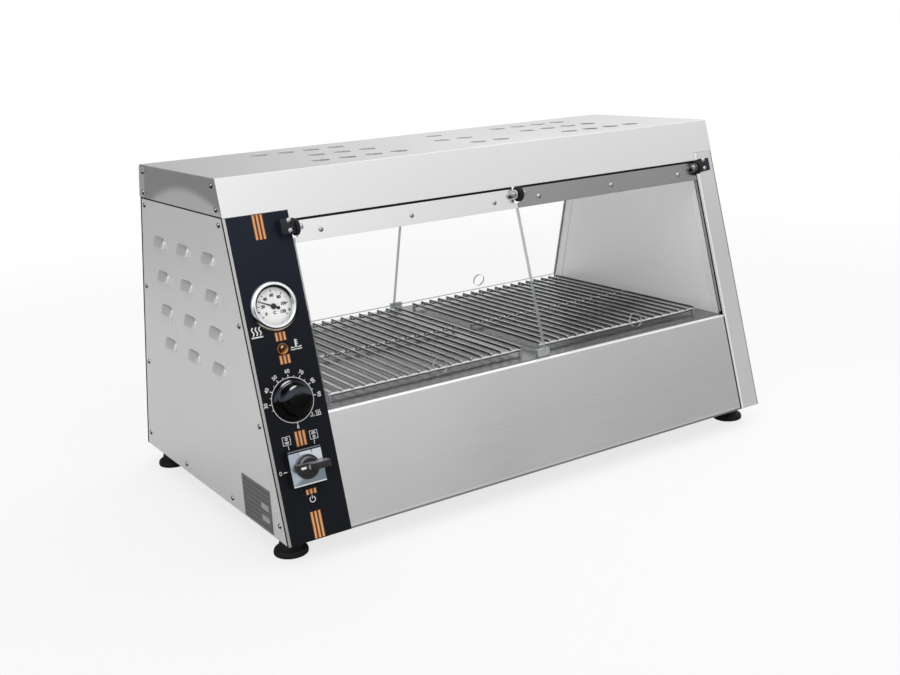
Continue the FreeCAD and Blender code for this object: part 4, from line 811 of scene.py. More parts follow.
def islands(node: str) -> list[list[Vector]]:
    """Split a CAD node into its separate solids.

    Args:
        node: the node's name.

    Returns:
        The corner points of each solid, in the scene's metres.
    """
    copy = bmesh.new()
    copy.from_mesh(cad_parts[node].data)
    bmesh.ops.remove_doubles(copy, verts=copy.verts, dist=WELD)
    found = []
    seen = set()
    for start in copy.verts:
        if start in seen:
            continue
        seen.add(start)
        group, waiting = [], [start]
        while waiting:
            corner = waiting.pop()
            group.append(corner.co.copy())
            for edge in corner.link_edges:
                other = edge.other_vert(corner)
                if other not in seen:
                    seen.add(other)
                    waiting.append(other)
        found.append(group)
    copy.free()
    return found


def extent(points: Sequence[Vector]) -> tuple[Vector, Vector]:
    """Return the lowest and the highest corner of a cloud of points."""
    lows = Vector([min(point[axis] for point in points) for axis in range(3)])
    highs = Vector([max(point[axis] for point in points) for axis in range(3)])
    return lows, highs


def smooth_curve(points: Sequence[Point], steps: int = 5) -> list[Vector]:
    """Return a smooth line through points, with a number of steps between each pair."""
    corners = [Vector(point) for point in points]
    padded = [2 * corners[0] - corners[1], *corners, 2 * corners[-1] - corners[-2]]
    line = []
    for before, start, end, after in zip(padded, padded[1:], padded[2:], padded[3:]):
        for number in range(steps):
            t = number / steps
            bend = 2 * before - 5 * start + 4 * end - after
            twist = 3 * start - before - 3 * end + after
            line.append(start + ((end - before) * t + bend * t**2 + twist * t**3) / 2)
    line.append(corners[-1])
    return line


class Draft:
    """The mesh of one piece while it is drawn, in the millimetres of a frame."""

    def __init__(self, place: Matrix) -> None:
        """Start an empty mesh in a frame."""
        self.place = place
        self.mesh = bmesh.new()

    def ring(self, points: Iterable[Point]) -> Ring:
        """Add corners and return them."""
        return [self.mesh.verts.new(self.place @ Vector(point)) for point in points]

    def face(self, corners: Ring) -> None:
        """Add a face."""
        self.mesh.faces.new(corners)

    def band(self, first: Ring, second: Ring) -> None:
        """Add the faces between two closed rings of the same count, or between a ring and a tip."""
        if len(first) == 1 and len(second) == 1:
            return
        count = max(len(first), len(second))
        for number in range(count):
            following = (number + 1) % count
            corners = [first[number % len(first)], first[following % len(first)]]
            corners += [second[following % len(second)], second[number % len(second)]]
            self.face(list(dict.fromkeys(corners)))

    def loft(self, rings: Sequence[Ring]) -> None:
        """Add the faces between each ring and the next."""
        for first, second in zip(rings, rings[1:]):
            self.band(first, second)

    def circle(self, radius: float, height: float, spot: Matrix, sides: int) -> Ring:
        """Add a ring round the Z axis of a spot, or a tip where the radius is 0."""
        count = sides if radius > WELD else 1
        angles = [WHOLE_TURN * number / sides for number in range(count)]
        return self.ring(spot @ polar(radius, angle, height) for angle in angles)

    def lathe(self, profile: Sequence[Point], spot: Matrix = Matrix.Identity(4), sides: int = 64) -> None:
        """Turn a profile round the Z axis.

        Args:
            profile: pairs of radius and height; a radius of 0 closes the end in a tip.
            spot: where the axis stands in the frame.
            sides: how many sides the round has.
        """
        self.loft([self.circle(radius, height, spot, sides) for radius, height in profile])

    def prism(self, outline: Sequence[Point], low: float, high: float) -> None:
        """Raise a flat outline between two heights."""
        bottom, top = (self.ring((point[0], point[1], level) for point in outline) for level in (low, high))
        self.band(bottom, top)
        self.face(bottom)
        self.face(top)

    def block(self, low: Point, high: Point) -> None:
        """Add a block between two corners."""
        outline = [(low[0], low[1]), (high[0], low[1]), (high[0], high[1]), (low[0], high[1])]
        self.prism(outline, low[2], high[2])

    def ribbon(
        self, line: Sequence[Point], width: float, low: float, high: float, closed: bool = False
    ) -> None:
        """Add a flat stroke along a line.

        Args:
            line: the stroke's middle line.
            width: its width.
            low: the level of its underside.
            high: the level of its top.
            closed: whether the line's end meets its start.
        """
        points = [Vector((point[0], point[1])) for point in line]
        sections = []
        for number, point in enumerate(points):
            before = points[number - 1] if number or closed else point
            after = points[(number + 1) % len(points)] if number + 1 < len(points) or closed else point
            along = (after - before).normalized()
            across = Vector((-along.y, along.x)) * width / 2
            left, right = point + across, point - across
            sections.append(self.ring([(*left, low), (*left, high), (*right, high), (*right, low)]))
        self.loft(sections)
        if closed:
            self.band(sections[-1], sections[0])
        else:
            self.face(sections[0])
            self.face(sections[-1])

    def lettering(
        self, words: str, height: float, low: float, high: float, spot: Matrix, bold: float = 0.0
    ) -> None:
        """Add raised figures, centred on a spot.

        Args:
            words: the figures.
            height: the size of the type.
            low: the level of their underside.
            high: the level of their top.
            spot: where they stand in the frame.
            bold: how much wider each stroke is on either side.
        """
        curve = bpy.data.curves.new("figures", "FONT")
        curve.body = words
        curve.size = height
        curve.align_x = "CENTER"
        curve.align_y = "CENTER"
        curve.resolution_u = 4
        curve.extrude = (high - low) / 2
        curve.offset = bold
        carrier = bpy.data.objects.new("figures", curve)
        mesh = bpy.data.meshes.new_from_object(carrier)
        lift = Matrix.Translation((0, 0, (high + low) / 2))
        mesh.transform(self.place @ spot @ lift)
        self.mesh.from_mesh(mesh)
        bpy.data.objects.remove(carrier)
        bpy.data.curves.remove(curve)
        bpy.data.meshes.remove(mesh)

    def soften(self, radius: float, segments: int = 3, sharpness: float = 35.0) -> None:
        """Round the sharp edges off, with a radius in millimetres."""
        bmesh.ops.remove_doubles(self.mesh, verts=self.mesh.verts, dist=1e-7)
        bmesh.ops.recalc_face_normals(self.mesh, faces=self.mesh.faces)
        limit = math.radians(sharpness)
        sharp = [edge for edge in self.mesh.edges if edge.calc_face_angle(0.0) > limit]
        bmesh.ops.bevel(
            self.mesh, geom=sharp, offset=radius * MM, segments=segments, profile=0.5, affect="EDGES",
            clamp_overlap=True,
        )

    def show(
        self, name: str, body: str, finish: Finish, slot: str, replaces: Sequence[str] = (),
        turned_out: bool = True,
    ) -> bpy.types.Object:
        """Turn the draft into a piece of the scene.

        Args:
            name: the piece's name.
            body: the CAD body that it rides on.
            finish: what it is made of.
            slot: the record's material slot that it stands for; not used.
            replaces: the CAD nodes that it stands for.
            turned_out: whether its faces are turned outwards here.

        Returns:
            The new object.
        """
        if turned_out:
            bmesh.ops.recalc_face_normals(self.mesh, faces=self.mesh.faces)
        mesh = bpy.data.meshes.new(name)
        self.mesh.to_mesh(mesh)
        self.mesh.free()
        mesh.shade_smooth()
        mesh.set_sharp_from_angle(angle=math.radians(SMOOTH_BELOW))
        mesh.materials.append(material(finish))
        piece = bpy.data.objects.new(name, mesh)
        bpy.context.scene.collection.objects.link(piece)
        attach(piece, body)
        if replaces:
            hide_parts(*replaces)
        LOG.info("piece %s on %s: %d faces", name, body, len(mesh.polygons))
        return piece


def at(x: float, y: float, z: float = 0.0, turn: float = 0.0) -> Matrix:
    """Return a spot in a frame, turned round its Z axis by degrees."""
    return Matrix.Translation((x, y, z)) @ Matrix.Rotation(math.radians(turn), 4, "Z")


def on_dial(centre: Point, radius: float, angle: float) -> Vector:
    """Return a point round a centre, at degrees clockwise from the top."""
    turn = math.radians(angle)
    return Vector((centre[0] + radius * math.sin(turn), centre[1] + radius * math.cos(turn)))


def arc(centre: Point, radius: float, start: float, end: float, steps: int) -> list[Vector]:
    """Return points of an arc, with angles in degrees clockwise from the top."""
    return [on_dial(centre, radius, start + (end - start) * number / steps) for number in range(steps + 1)]


@dataclass
class SidePanel:
    """The left side panel: a leaning-edged sheet with pressed louvers that open downwards."""

    sheet: float = 1.0
    louver_length: float = 43.0
    louver_height: float = 15.0
    louver_depth: float = 6.5
    pitch_across: float = 90.0
    pitch_down: float = 50.0
    drop: float = 51.0
    rows: int = 4
    columns: tuple[int, ...] = (-1, 0, 1)
    squareness: float = 4.0
    slope: float = 0.75
    steps_across: int = 26
    steps_up: int = 12

    def build(self) -> None:
        """Build the panel and let it replace its CAD node."""
        low, high = (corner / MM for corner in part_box("left_side_panel"))
        outside = high.x - self.sheet
        draft = Draft(Matrix.Translation((0, 0, low.z * MM)) @ Matrix.Scale(MM, 4))
        levels, flats = self._levels(high.z - low.z), self._stations()
        reaches = [high.y - LEAN_SLOPE * level for level, _ in levels]
        grid = [[-reach, *flats, reach] for reach in reaches]
        lower = [draft.ring((outside, y, level) for y in row) for row, (level, _) in zip(grid, levels)]
        upper = [list(row) for row in lower]
        for number, (level, share) in enumerate(levels):
            for station, y in enumerate(grid[number]):
                lift = 0.0 if share is None else self._lift(y, share)
                if lift > 0:
                    upper[number][station] = draft.ring([(outside - lift, y, level)])[0]
                    if share:
                        lower[number][station] = upper[number][station]
        for under, over in zip(upper, lower[1:]):
            for station in range(len(flats) + 1):
                draft.face([under[station], over[station], over[station + 1], under[station + 1]])
        panel = draft.show(
            "left_side_panel_pressed", "cabinet", SHEET_SIDE, "steel_panel", ["left_side_panel"], False
        )
        for polygon in panel.data.polygons:
            polygon.use_smooth = abs(polygon.normal.x) < 0.9999
        skin = panel.modifiers.new("sheet", "SOLIDIFY")
        skin.thickness = self.sheet * MM
        skin.offset = -1.0

    def _levels(self, height: float) -> list[tuple[float, float | None]]:
        """Return the grid's levels, each with its share up a louver from its open edge, or None between."""
        levels: list[tuple[float, float | None]] = [(0.0, None)]
        for row in reversed(range(self.rows)):
            bottom = height - self.drop - self.louver_height - self.pitch_down * row
            shares = [number / self.steps_up for number in range(self.steps_up + 1)]
            levels += [(bottom + self.louver_height * share, share) for share in shares]
        return [*levels, (height, None)]

    def _stations(self) -> list[float]:
        """Return the grid's stations along the panel, closer together over the louvers."""
        stations = []
        for column in self.columns:
            middle = column * self.pitch_across
            for number in range(self.steps_across + 1):
                share = -math.cos(math.pi * number / self.steps_across)
                stations.append(middle + share * self.louver_length / 2)
        return stations

    def _lift(self, y: float, share: float) -> float:
        """Return how far a louver stands off the panel, at a station and a share of its height."""
        aside = min(abs(y - column * self.pitch_across) for column in self.columns)
        reach = (aside / (self.louver_length / 2)) ** self.squareness + share**self.squareness
        if reach > 0.999:
            return 0.0
        return self.louver_depth * (1 - self.slope * share) * (1 - reach) ** 0.5


@dataclass
class JointShadeBeads:
    """The dark beads in the joints between the panels, the columns and posts, and the hood's caps: the joints
    are real, and the beads' dark is painted shade in their gaps.
    """

    half_width: float = 425.0
    body_height: float = 407.0
    edge: float = 0.1
    width: float = 4.2
    proud: float = 0.12
    depth: float = 0.9
    cap_bead: float = 0.95
    cap_inset: float = 1.3
    seam_half: float = 1.25
    seam_top: float = 153.0
    lip_runs: tuple[tuple[float, float], ...] = ((-334.0, 21.0), (29.0, 384.0))
    lip_section: tuple[tuple[float, float], ...] = (
        (-0.2, 407.9), (-5.0, 407.9), (-5.0, 410.1), (-0.2, 408.8),
    )
    post_seams: tuple[tuple[LeaningFace, float], ...] = ((FRONT, 385.8), (REAR, -385.8), (REAR, 335.8))

    def build(self) -> None:
        """Lay the beads along the leaning edges, under the caps, behind the lips and beside the posts."""
        draft = Draft(Matrix.Identity(4))
        for side in (-1, 1):
            self._side_beads(draft, side)
        self._lip_beads(draft)
        self._post_beads(draft)
        # painted shade: dark fill in the gaps of the joints
        draft.show("joint_shade_beads", "cabinet", JOINT_SHADE, "black_matte")

    def _side_beads(self, draft: Draft, side: int) -> None:
        """Lay the beads of one side, down both leaning edges and under the cap."""
        spin = Matrix(((0, 0, side, 0), (1, 0, 0, 0), (0, 1, 0, 0), (0, 0, 0, 1)))
        draft.place = Matrix.Translation((0, 0, FOOT_HEIGHT * MM)) @ Matrix.Scale(MM, 4) @ spin
        low, high = self.half_width - self.depth, self.half_width + self.proud
        foot, top = BASE_DEPTH / 2, self.body_height
        retreat = LEAN_SLOPE * top
        outer, inner = foot - self.edge, foot - self.edge - self.width
        for face in (-1, 1):
            corners = ((outer, 0.0), (inner, 0.0), (inner - retreat, top), (outer - retreat, top))
            draft.prism([(face * reach, rise) for reach, rise in corners], low, high)
        reach = foot - self.cap_inset - retreat
        draft.block((-reach, top - self.cap_bead, self.half_width), (reach, top + self.cap_bead, high))

    def _lip_beads(self, draft: Draft) -> None:
        """Lay the beads behind the hood's lips, over the doors, as painted shade under the lips."""
        along = Matrix(((0, 0, 1, 0), (0, 1, 0, 0), (1, 0, 0, 0), (0, 0, 0, 1)))
        for face in (FRONT, REAR):
            draft.place = face.matrix() @ along
            for start, end in self.lip_runs:
                span = (-end, -start) if face.rear else (start, end)
                draft.prism(self.lip_section, *span)

    def _post_beads(self, draft: Draft) -> None:
        """Lay the beads between the lower panels and the posts, as painted shade in the gaps."""
        for face, x in self.post_seams:
            draft.place = face.matrix()
            start, end = x - self.seam_half, x + self.seam_half
            draft.block((start, 0.0, -self.depth), (end, self.seam_top, self.proud))


@dataclass
class Feet:
    """The four bell-shaped rubber feet."""

    radius: float = 23.0
    neck: float = 14.0
    height: float = 30.0

    def build(self) -> None:
        """Build the feet and let them replace their CAD node."""
        draft = Draft(Matrix.Scale(MM, 4))
        outline = smooth_curve([
            (self.radius - 2.0, 0.0), (self.radius - 0.3, 1.2), (self.radius, 4.5), (self.radius - 1.6, 8.2),
            (self.radius - 6.0, 11.4), (self.neck + 0.8, 17.0), (self.neck, self.height),
        ])
        profile = [(0.0, 0.0), *outline, (0.0, self.height)]
        for solid in islands("feet"):
            low, high = extent(solid)
            middle = (low + high) / 2 / MM
            draft.lathe(profile, at(middle.x, middle.y))
        draft.show("rubber_feet", "cabinet", RUBBER, "rubber", ["feet"])


@dataclass
class Screws:
    """Pan-head screws with a cross recess, and the nuts of the door strips."""

    head: float = 3.6
    rim: float = 0.3
    crown: float = 2.3
    shank: float = 2.0
    flat: float = 1.6
    slot_reach: float = 1.35
    slot_half: float = 0.45
    slot_depth: float = 1.1
    slot_taper: float = 0.8
    nut: float = 4.4
    sides: int = 24
    dome_shares: tuple[float, ...] = (1.0, 0.96, 0.88, 0.76, 0.62)
    first_turn: float = 17.0
    next_turn: float = 41.0

    def build(self) -> None:
        """Build every group of screws on its body."""
        self._group("panel_screws", "cabinet", SIDE_ZINC)
        self._group("hinge_block_screws", "cabinet", ZINC)
        for door in DOORS:
            self._group(f"{door}_strip_screws", f"{door}_door", ZINC)

    def _group(self, node: str, body: str, plating: Finish) -> None:
        """Build the screws of one node, each where its solid stands."""
        draft = Draft(Matrix.Identity(4))
        height = self.rim + self.crown
        for number, solid in enumerate(islands(node)):
            spot = self._frame(node, solid)
            local = [spot.inverted() @ point for point in solid]
            low, high = extent(local)
            widest = max(point.xy.length for point in local)
            if high.z - low.z < self.nut and widest > self.head + 0.2:
                self._hex_nut(draft, spot, low.z, high.z)
            else:
                seat = at(0, 0, high.z - height, self.first_turn + self.next_turn * number)
                self._screw(draft, spot @ seat, high.z - low.z - height)
        draft.show(f"{node}_pan_heads", body, plating, "screw_steel", [node])

    @staticmethod
    def _frame(node: str, solid: Sequence[Vector]) -> Matrix:
        """Return the frame of a screw: millimetres, with Z along its axis and out of the head."""
        low, high = extent(solid)
        middle = (low + high) / 2
        if node == "panel_screws":
            tilt = Matrix.Rotation(math.copysign(math.pi / 2, middle.x), 4, "Y")
            return Matrix.Translation(middle) @ tilt @ Matrix.Scale(MM, 4)
        face = face_of(middle)
        return face.matrix() @ Matrix.Translation(face.local([middle])[0])

    def _screw(self, draft: Draft, spot: Matrix, length: float) -> None:
        """Add a screw with its head's underside on a spot."""
        shares = (*self.dome_shares, self.flat / self.head)
        dome = [(self.head * share, self.rim + self.crown * (1 - share**2)) for share in shares]
        profile = [(self.shank, -length), (self.shank, 0.0), (self.head - 0.1, 0.0), *dome]
        rings = [draft.circle(radius, height, spot, self.sides) for radius, height in profile]
        draft.face(rings[0])
        draft.loft(rings)
        self._recess(draft, spot, rings[-1], dome[-1][1])

    def _recess(self, draft: Draft, spot: Matrix, rim: Ring, top: float) -> None:
        """Close a head with a cross recess inside its last ring."""
        reach, half = self.slot_reach, self.slot_half
        outline = []
        for turn in range(4):
            spin = Matrix.Rotation(math.pi / 2 * turn, 2)
            outline += [spin @ Vector(point) for point in ((reach, -half), (reach, half), (half, half))]
        mouth = draft.ring(spot @ Vector((*point, top)) for point in outline)
        bottom = top - self.slot_depth
        floor = draft.ring(spot @ Vector((*(point * self.slot_taper), bottom)) for point in outline)
        draft.band(mouth, floor)
        draft.face(floor)
        for number, corner in enumerate(mouth):
            stretch = [rim[(2 * number + offset) % self.sides] for offset in (-1, 0, 1)]
            draft.face([corner, *stretch, mouth[(number + 1) % len(mouth)]])

    def _hex_nut(self, draft: Draft, spot: Matrix, low: float, high: float) -> None:
        """Add a six-sided nut round a screw's end."""
        profile = [(self.shank, low), (self.nut * 0.9, low), (self.nut, low + 0.4), (self.nut, high - 0.2)]
        draft.lathe([*profile, (self.nut * 0.95, high), (self.shank, high)], spot, sides=6)


@dataclass
class Hinges:
    """The door hinges: blocks on the columns, knuckle discs, pins and their dome nuts."""

    knuckle: float = 11.0
    knuckle_length: float = 6.1
    notch: float = 0.35
    knurls: int = 48
    block_width: float = 20.0
    block_height: float = 20.0
    block_stand: float = 13.5
    block_lift: float = 2.0
    axis_stand: float = 6.5
    seat: float = 0.6
    pin: float = 3.0
    nut: float = 5.0
    nut_length: float = 5.0
    nut_collar: float = 3.0
    middle_length: float = 7.0
    hanger_inset: float = 0.6
    pin_end: float = 0.5

    def build(self) -> None:
        """Build the blocks, the discs and the pins."""
        self._side_blocks()
        self._middle_blocks()
        self._pins()

    def _across(self, x: float, rise: float) -> Matrix:
        """Return a spot on the hinge axis whose Z runs along X."""
        return Matrix.Translation((x, rise, self.axis_stand)) @ Matrix.Rotation(math.pi / 2, 4, "Y")

    def _disc(self, draft: Draft, spot: Matrix, length: float) -> None:
        """Add a knuckle disc with a finely notched rim and a stepped bore."""
        bore, rim, bevel, step = self.pin + 0.4, self.knuckle, 0.8, 0.7
        profile = (
            (bore, 0.0), (rim * 0.84, 0.0), (rim, bevel), (rim, length - bevel), (rim * 0.84, length),
            (rim * 0.62, length), (rim * 0.58, length - step), (bore, length - step),
        )
        rings = []
        count = self.knurls * 2
        for radius, height in profile:
            notch = self.notch if radius == rim else 0.0
            rings.append(draft.ring(
                spot @ polar(radius - notch * (number % 2), WHOLE_TURN * number / count, height)
                for number in range(count)
            ))
        draft.loft([*rings, rings[0]])

    def _side_blocks(self) -> None:
        """Build the blocks on the columns and their discs."""
        blocks, discs = Draft(Matrix.Identity(4)), Draft(Matrix.Identity(4))
        for solid in islands("side_hinge_blocks"):
            face = face_of(solid[0])
            low, high = extent(face.local(solid))
            inward = 1 if high.x < 0 else -1
            outer, inner = (low.x, high.x) if inward > 0 else (high.x, low.x)
            axis_rise = low.y + self.knuckle
            middle, half = axis_rise + self.block_lift, self.block_height / 2
            start, end = sorted((outer, outer + inward * self.block_width))
            blocks.place = discs.place = face.matrix()
            blocks.block((start, middle - half, self.seat), (end, middle + half, self.block_stand))
            disc_start = min(inner, inner - inward * self.knuckle_length)
            self._disc(discs, self._across(disc_start, axis_rise), self.knuckle_length)
        blocks.soften(1.1)
        blocks.show("hinge_foot_blocks", "cabinet", SLATE, "black_matte", ["side_hinge_blocks"])
        discs.show("hinge_knuckle_discs", "cabinet", SATIN_BLACK, "black_matte", ["side_hinge_blocks"])

    def _middle_blocks(self) -> None:
        """Build the knuckles between the doors and the hangers that carry them."""
        discs, hangers = Draft(Matrix.Identity(4)), Draft(Matrix.Scale(MM, 4))
        for solid in islands("middle_hinge_blocks"):
            low, high = (corner / MM for corner in extent(solid))
            face = face_of(solid[0])
            axis_y = low.y + self.knuckle if face is FRONT else high.y - self.knuckle
            axis = Vector(((low.x + high.x) / 2, axis_y, low.z + self.knuckle))
            spot = face.local([axis * MM])[0]
            discs.place = face.matrix()
            self._disc(discs, self._across(spot.x - self.middle_length / 2, spot.y), self.middle_length)
            start, end = sorted((axis_y, high.y if face is FRONT else low.y))
            left, right = low.x + self.hanger_inset, high.x - self.hanger_inset
            hangers.block((left, start, axis.z - self.pin * 2 + 0.5), (right, end, axis.z + self.pin))
        hangers.soften(0.8)
        for draft, name in ((discs, "middle_knuckle_discs"), (hangers, "middle_knuckle_hangers")):
            draft.show(name, "cabinet", SATIN_BLACK, "black_matte", ["middle_hinge_blocks"])

    def _pins(self) -> None:
        """Build the pins and the dome nuts on their ends."""
        draft = Draft(Matrix.Identity(4))
        nut, collar = self.nut, self.nut_collar
        collar_profile = [(0.0, 0.0), (nut, 0.0), (nut, collar - 0.4), (nut * 0.9, collar), (0.0, collar)]
        dome = [(nut * 0.86, collar), (nut * 0.8, 3.9), (nut * 0.5, 4.7), (0.0, self.nut_length)]
        dome_profile = [(0.0, collar - 0.1), *smooth_curve(dome, 4)]
        for solid in islands("hinge_pins"):
            face = face_of(solid[0])
            local = face.local(solid)
            low, high = extent(local)
            middle = (low + high) / 2
            wide = {point.x > middle.x for point in local if (point - middle).yz.length > self.pin + 1}
            draft.place = face.matrix()
            length = high.x - low.x - self.pin_end * 2
            rod = [(0.0, 0.0), (self.pin, 0.0), (self.pin, length), (0.0, length)]
            draft.lathe(rod, self._across(low.x + self.pin_end, middle.y), sides=24)
            for is_high in sorted(wide):
                seat = high.x - self.nut_length if is_high else low.x + self.nut_length
                flip = Matrix.Rotation(0.0 if is_high else math.pi, 4, "X")
                spot = self._across(seat, middle.y) @ flip
                draft.lathe(collar_profile, spot, 6)
                draft.lathe(dome_profile, spot, 24)
        draft.show("hinge_pins_and_nuts", "cabinet", CHROME, "chrome", ["hinge_pins"])


@dataclass
class Thermometer:
    """The dial thermometer: rolled bezel, printed scale and needle."""

    bezel: float = 32.0
    window: float = 24.0
    dial_level: float = -0.4
    sweep: float = 252.0
    span: int = 120
    reading: float = 29.0
    needle_thickness: float = 0.7
    needle_outline: tuple[Point, ...] = ((-0.95, 2.0), (0.95, 2.0), (0.34, 21.6), (-0.34, 21.6))
    tail_outline: tuple[Point, ...] = ((-1.1, -2.0), (1.1, -2.0), (1.2, -5.6), (-1.2, -5.6))
    tail_end: float = -6.9
    unit_place: Point = (0.0, -8.4)
    figure_size: float = 5.3
    figure_bold: float = 0.34
    figure_radius: float = 14.2
    ticks: tuple[Point, ...] = ((20, 18.4, 1.0), (10, 19.6, 0.5), (2, 20.6, 0.26))
    tick_end: float = 21.6
    limit_marks: tuple[float, ...] = (-102.0, 110.0)

    def build(self) -> None:
        """Build the bezel, the print and the needle."""
        spot = FRONT.centre("thermometer_bezel")
        self._bezel(FRONT.matrix() @ at(*spot))
        self._scale(FRONT.matrix() @ at(*spot))
        self._needle(FRONT.matrix() @ at(*spot, turn=-self._angle(self.reading)))

    def _angle(self, degrees_celsius: float) -> float:
        """Return where a reading stands on the dial, clockwise from the top."""
        return self.sweep * (degrees_celsius / self.span - 0.5)

    def _bezel(self, base: Matrix) -> None:
        """Build the rolled chrome ring round the dial."""
        draft = Draft(base)
        outer, seat = self.bezel, 0.62
        roll = smooth_curve([
            (outer - 0.2, 0.7), (outer, 1.9), (outer - 0.5, 3.7), (outer - 1.7, 5.3), (outer - 3.4, 6.3),
            (outer - 4.8, 6.5), (outer - 6.4, 5.9), (self.window + 0.7, 4.7), (self.window, 3.1),
        ], 6)
        inner = outer - 2.9
        draft.lathe([(inner, seat), (outer - 0.5, seat), *roll, (inner, 3.08), (inner, seat)], sides=96)
        bmesh.ops.remove_doubles(draft.mesh, verts=draft.mesh.verts, dist=WELD)
        draft.show("thermometer_rolled_bezel", "cabinet", BEZEL_CHROME, "chrome", ["thermometer_bezel"])

    def _scale(self, base: Matrix) -> None:
        """Print the dial: ticks, figures, the unit and two limit marks."""
        draft = Draft(base)
        low, high = ink_levels(self.dial_level)
        for degrees in range(0, self.span + 1, 2):
            inner, width = next(size for step, *size in self.ticks if degrees % step == 0)
            tick = [on_dial((0, 0), radius, self._angle(degrees)) for radius in (inner, self.tick_end)]
            draft.ribbon(tick, width, low, high)
        figures = {str(degrees): self._angle(degrees) for degrees in range(0, self.span + 1, 20)}
        spots = {figure: on_dial((0, 0), self.figure_radius, angle) for figure, angle in figures.items()}
        for figure, spot in (spots | {"C": self.unit_place}).items():
            draft.lettering(figure, self.figure_size, low, high, at(*spot), self.figure_bold)
        for angle in self.limit_marks:
            corners = ((19.8, angle), (23.4, angle - 5), (23.4, angle + 5))
            draft.prism([on_dial((0, 0), radius, turn) for radius, turn in corners], low, high)
        draft.show("thermometer_scale_print", "cabinet", DARK_INK, "needle_black")

    def _needle(self, base: Matrix) -> None:
        """Build the tapered needle with its hub and counterweight."""
        draft = Draft(base)
        low, high = 0.0, self.needle_thickness
        draft.prism(self.needle_outline, low, high)
        draft.prism(self.tail_outline, low, high)
        draft.lathe([(0.0, low), (2.1, low), (2.1, high), (0.0, high)], at(0, self.tail_end), sides=32)
        draft.lathe([(0.0, low), (3.7, low), (3.7, high), (3.1, high + 0.4), (0.0, high + 0.5)], sides=48)
        body = "thermometer_needle"
        draft.show("thermometer_tapered_needle", body, NEEDLE_PAINT, "needle_black", ["thermometer_needle"])


@dataclass
class TurnedControl:
    """A control that is turned round its axis on the front face: the lamp's lens or the knob."""

    node: str
    name: str
    body: str
    finish: Finish
    slot: str
    outline: Sequence[Point]
    steps: int
    sides: int

    def build(self) -> None:
        """Build the piece and let it replace its CAD node."""
        draft = Draft(FRONT.matrix() @ at(*FRONT.centre(self.node)))
        bottom = self.outline[0][1]
        draft.lathe([(0.0, bottom), *smooth_curve(self.outline, self.steps)], sides=self.sides)
        draft.show(self.name, self.body, self.finish, self.slot, [self.node])


PILOT_LENS = TurnedControl(
    "pilot_lamp_lens", "pilot_lamp_domed_lens", "cabinet", AMBER, "amber",
    ((6.0, 2.2), (6.0, 3.8), (5.5, 5.6), (4.2, 7.3), (2.2, 8.0), (0.0, 8.2)), steps=5, sides=48,
)
THERMOSTAT_KNOB = TurnedControl(
    "thermostat_knob", "thermostat_domed_knob", "thermostat_knob", GLOSS_BLACK, "black_gloss",
    (
        (26.6, 1.6), (27.0, 2.4), (27.0, 4.2), (26.1, 6.0), (24.2, 7.6), (21.9, 8.8), (21.0, 11.2),
        (20.2, 17.6), (18.0, 21.2), (13.02, 23.5), (6.3, 24.4), (0.0, 24.6),
    ), steps=6, sides=96,
)


@dataclass
class CamSwitch:
    """The cam switch's handle, its pointer mark and the figures on its plate."""

    plate_level: float = 10.6
    hub: float = 16.0
    hub_height: float = 7.0
    lift: float = 0.4
    half_width: float = 5.5
    waist: float = 0.78
    pointer_height: float = 11.0
    lever_height: float = 19.6
    figure_size: float = 5.4
    figure_bold: float = 0.08
    figures: tuple[tuple[str, float, float], ...] = (("0", -19.8, 0.0), ("1", -9.4, 18.0), ("2", 9.4, 18.0))
    mark_run: tuple[float, float] = (-13.6, -6.6)
    mark_half: float = 1.5
    mark_ink: tuple[float, float] = (-0.1, 0.08)

    def build(self) -> None:
        """Build the handle and the print."""
        base = FRONT.matrix() @ at(*FRONT.centre("switch_plate"))
        low = self.plate_level + self.lift
        self._hub(base, low)
        self._grip(base, low)
        draft = Draft(base)
        ink = ink_levels(self.plate_level)
        for figure, x, y in self.figures:
            draft.lettering(figure, self.figure_size, *ink, at(x, y), self.figure_bold)
        draft.show("switch_plate_figures", "cabinet", DARK_INK, "needle_black")

    def _hub(self, base: Matrix, low: float) -> None:
        """Build the round foot of the handle."""
        hub, top = self.hub, low + self.hub_height
        shoulder = smooth_curve([
            (hub, low + 0.4), (hub, low + 2.4), (hub - 0.8, low + 3.4), (hub - 2.6, low + 3.8),
            (hub - 4.0, low + 5.2), (hub - 5.0, top),
        ], 4)
        draft = Draft(base)
        draft.lathe([(0.0, low), (hub - 0.4, low), *shoulder, (0.0, top)], sides=72)
        draft.show("switch_handle_hub", "switch_handle", HANDLE_GREY, "black_matte", ["switch_handle"])

    def _grip(self, base: Matrix, low: float) -> None:
        """Build the bar of the handle, a low pointer to the left and a higher, longer lever to the right."""
        step, top = low + self.pointer_height, low + self.lever_height
        side = [
            (-16.8, low + 3.0), (-16.6, step - 2.0), (-15.0, step), (-4.0, step), (-0.5, step + 2.5),
            (1.5, top - 1.0), (4.0, top), (21.0, top), (25.6, top - 3.0), (25.9, low + 6.0),
            (23.0, low + 4.4), (14.0, low + 3.0),
        ]
        draft = Draft(base @ Matrix.Rotation(math.pi / 2, 4, "X"))
        corners = [(x, y, self.half_width * (self.waist if y > step else 1)) for x, y in side]
        back = draft.ring((x, y, -width) for x, y, width in corners)
        front = draft.ring(corners)
        draft.band(back, front)
        draft.face(back)
        draft.face(front)
        draft.soften(0.9, 4, 25.0)
        draft.show("switch_handle_grip", "switch_handle", HANDLE_GREY, "black_matte", ["switch_handle"])
        mark = Draft(base)
        start, end = self.mark_run
        under, over = (step + level for level in self.mark_ink)
        mark.block((start, -self.mark_half, under), (end, self.mark_half, over))
        mark.show("switch_pointer_mark", "switch_handle", WHITE_INK, "dial_white")


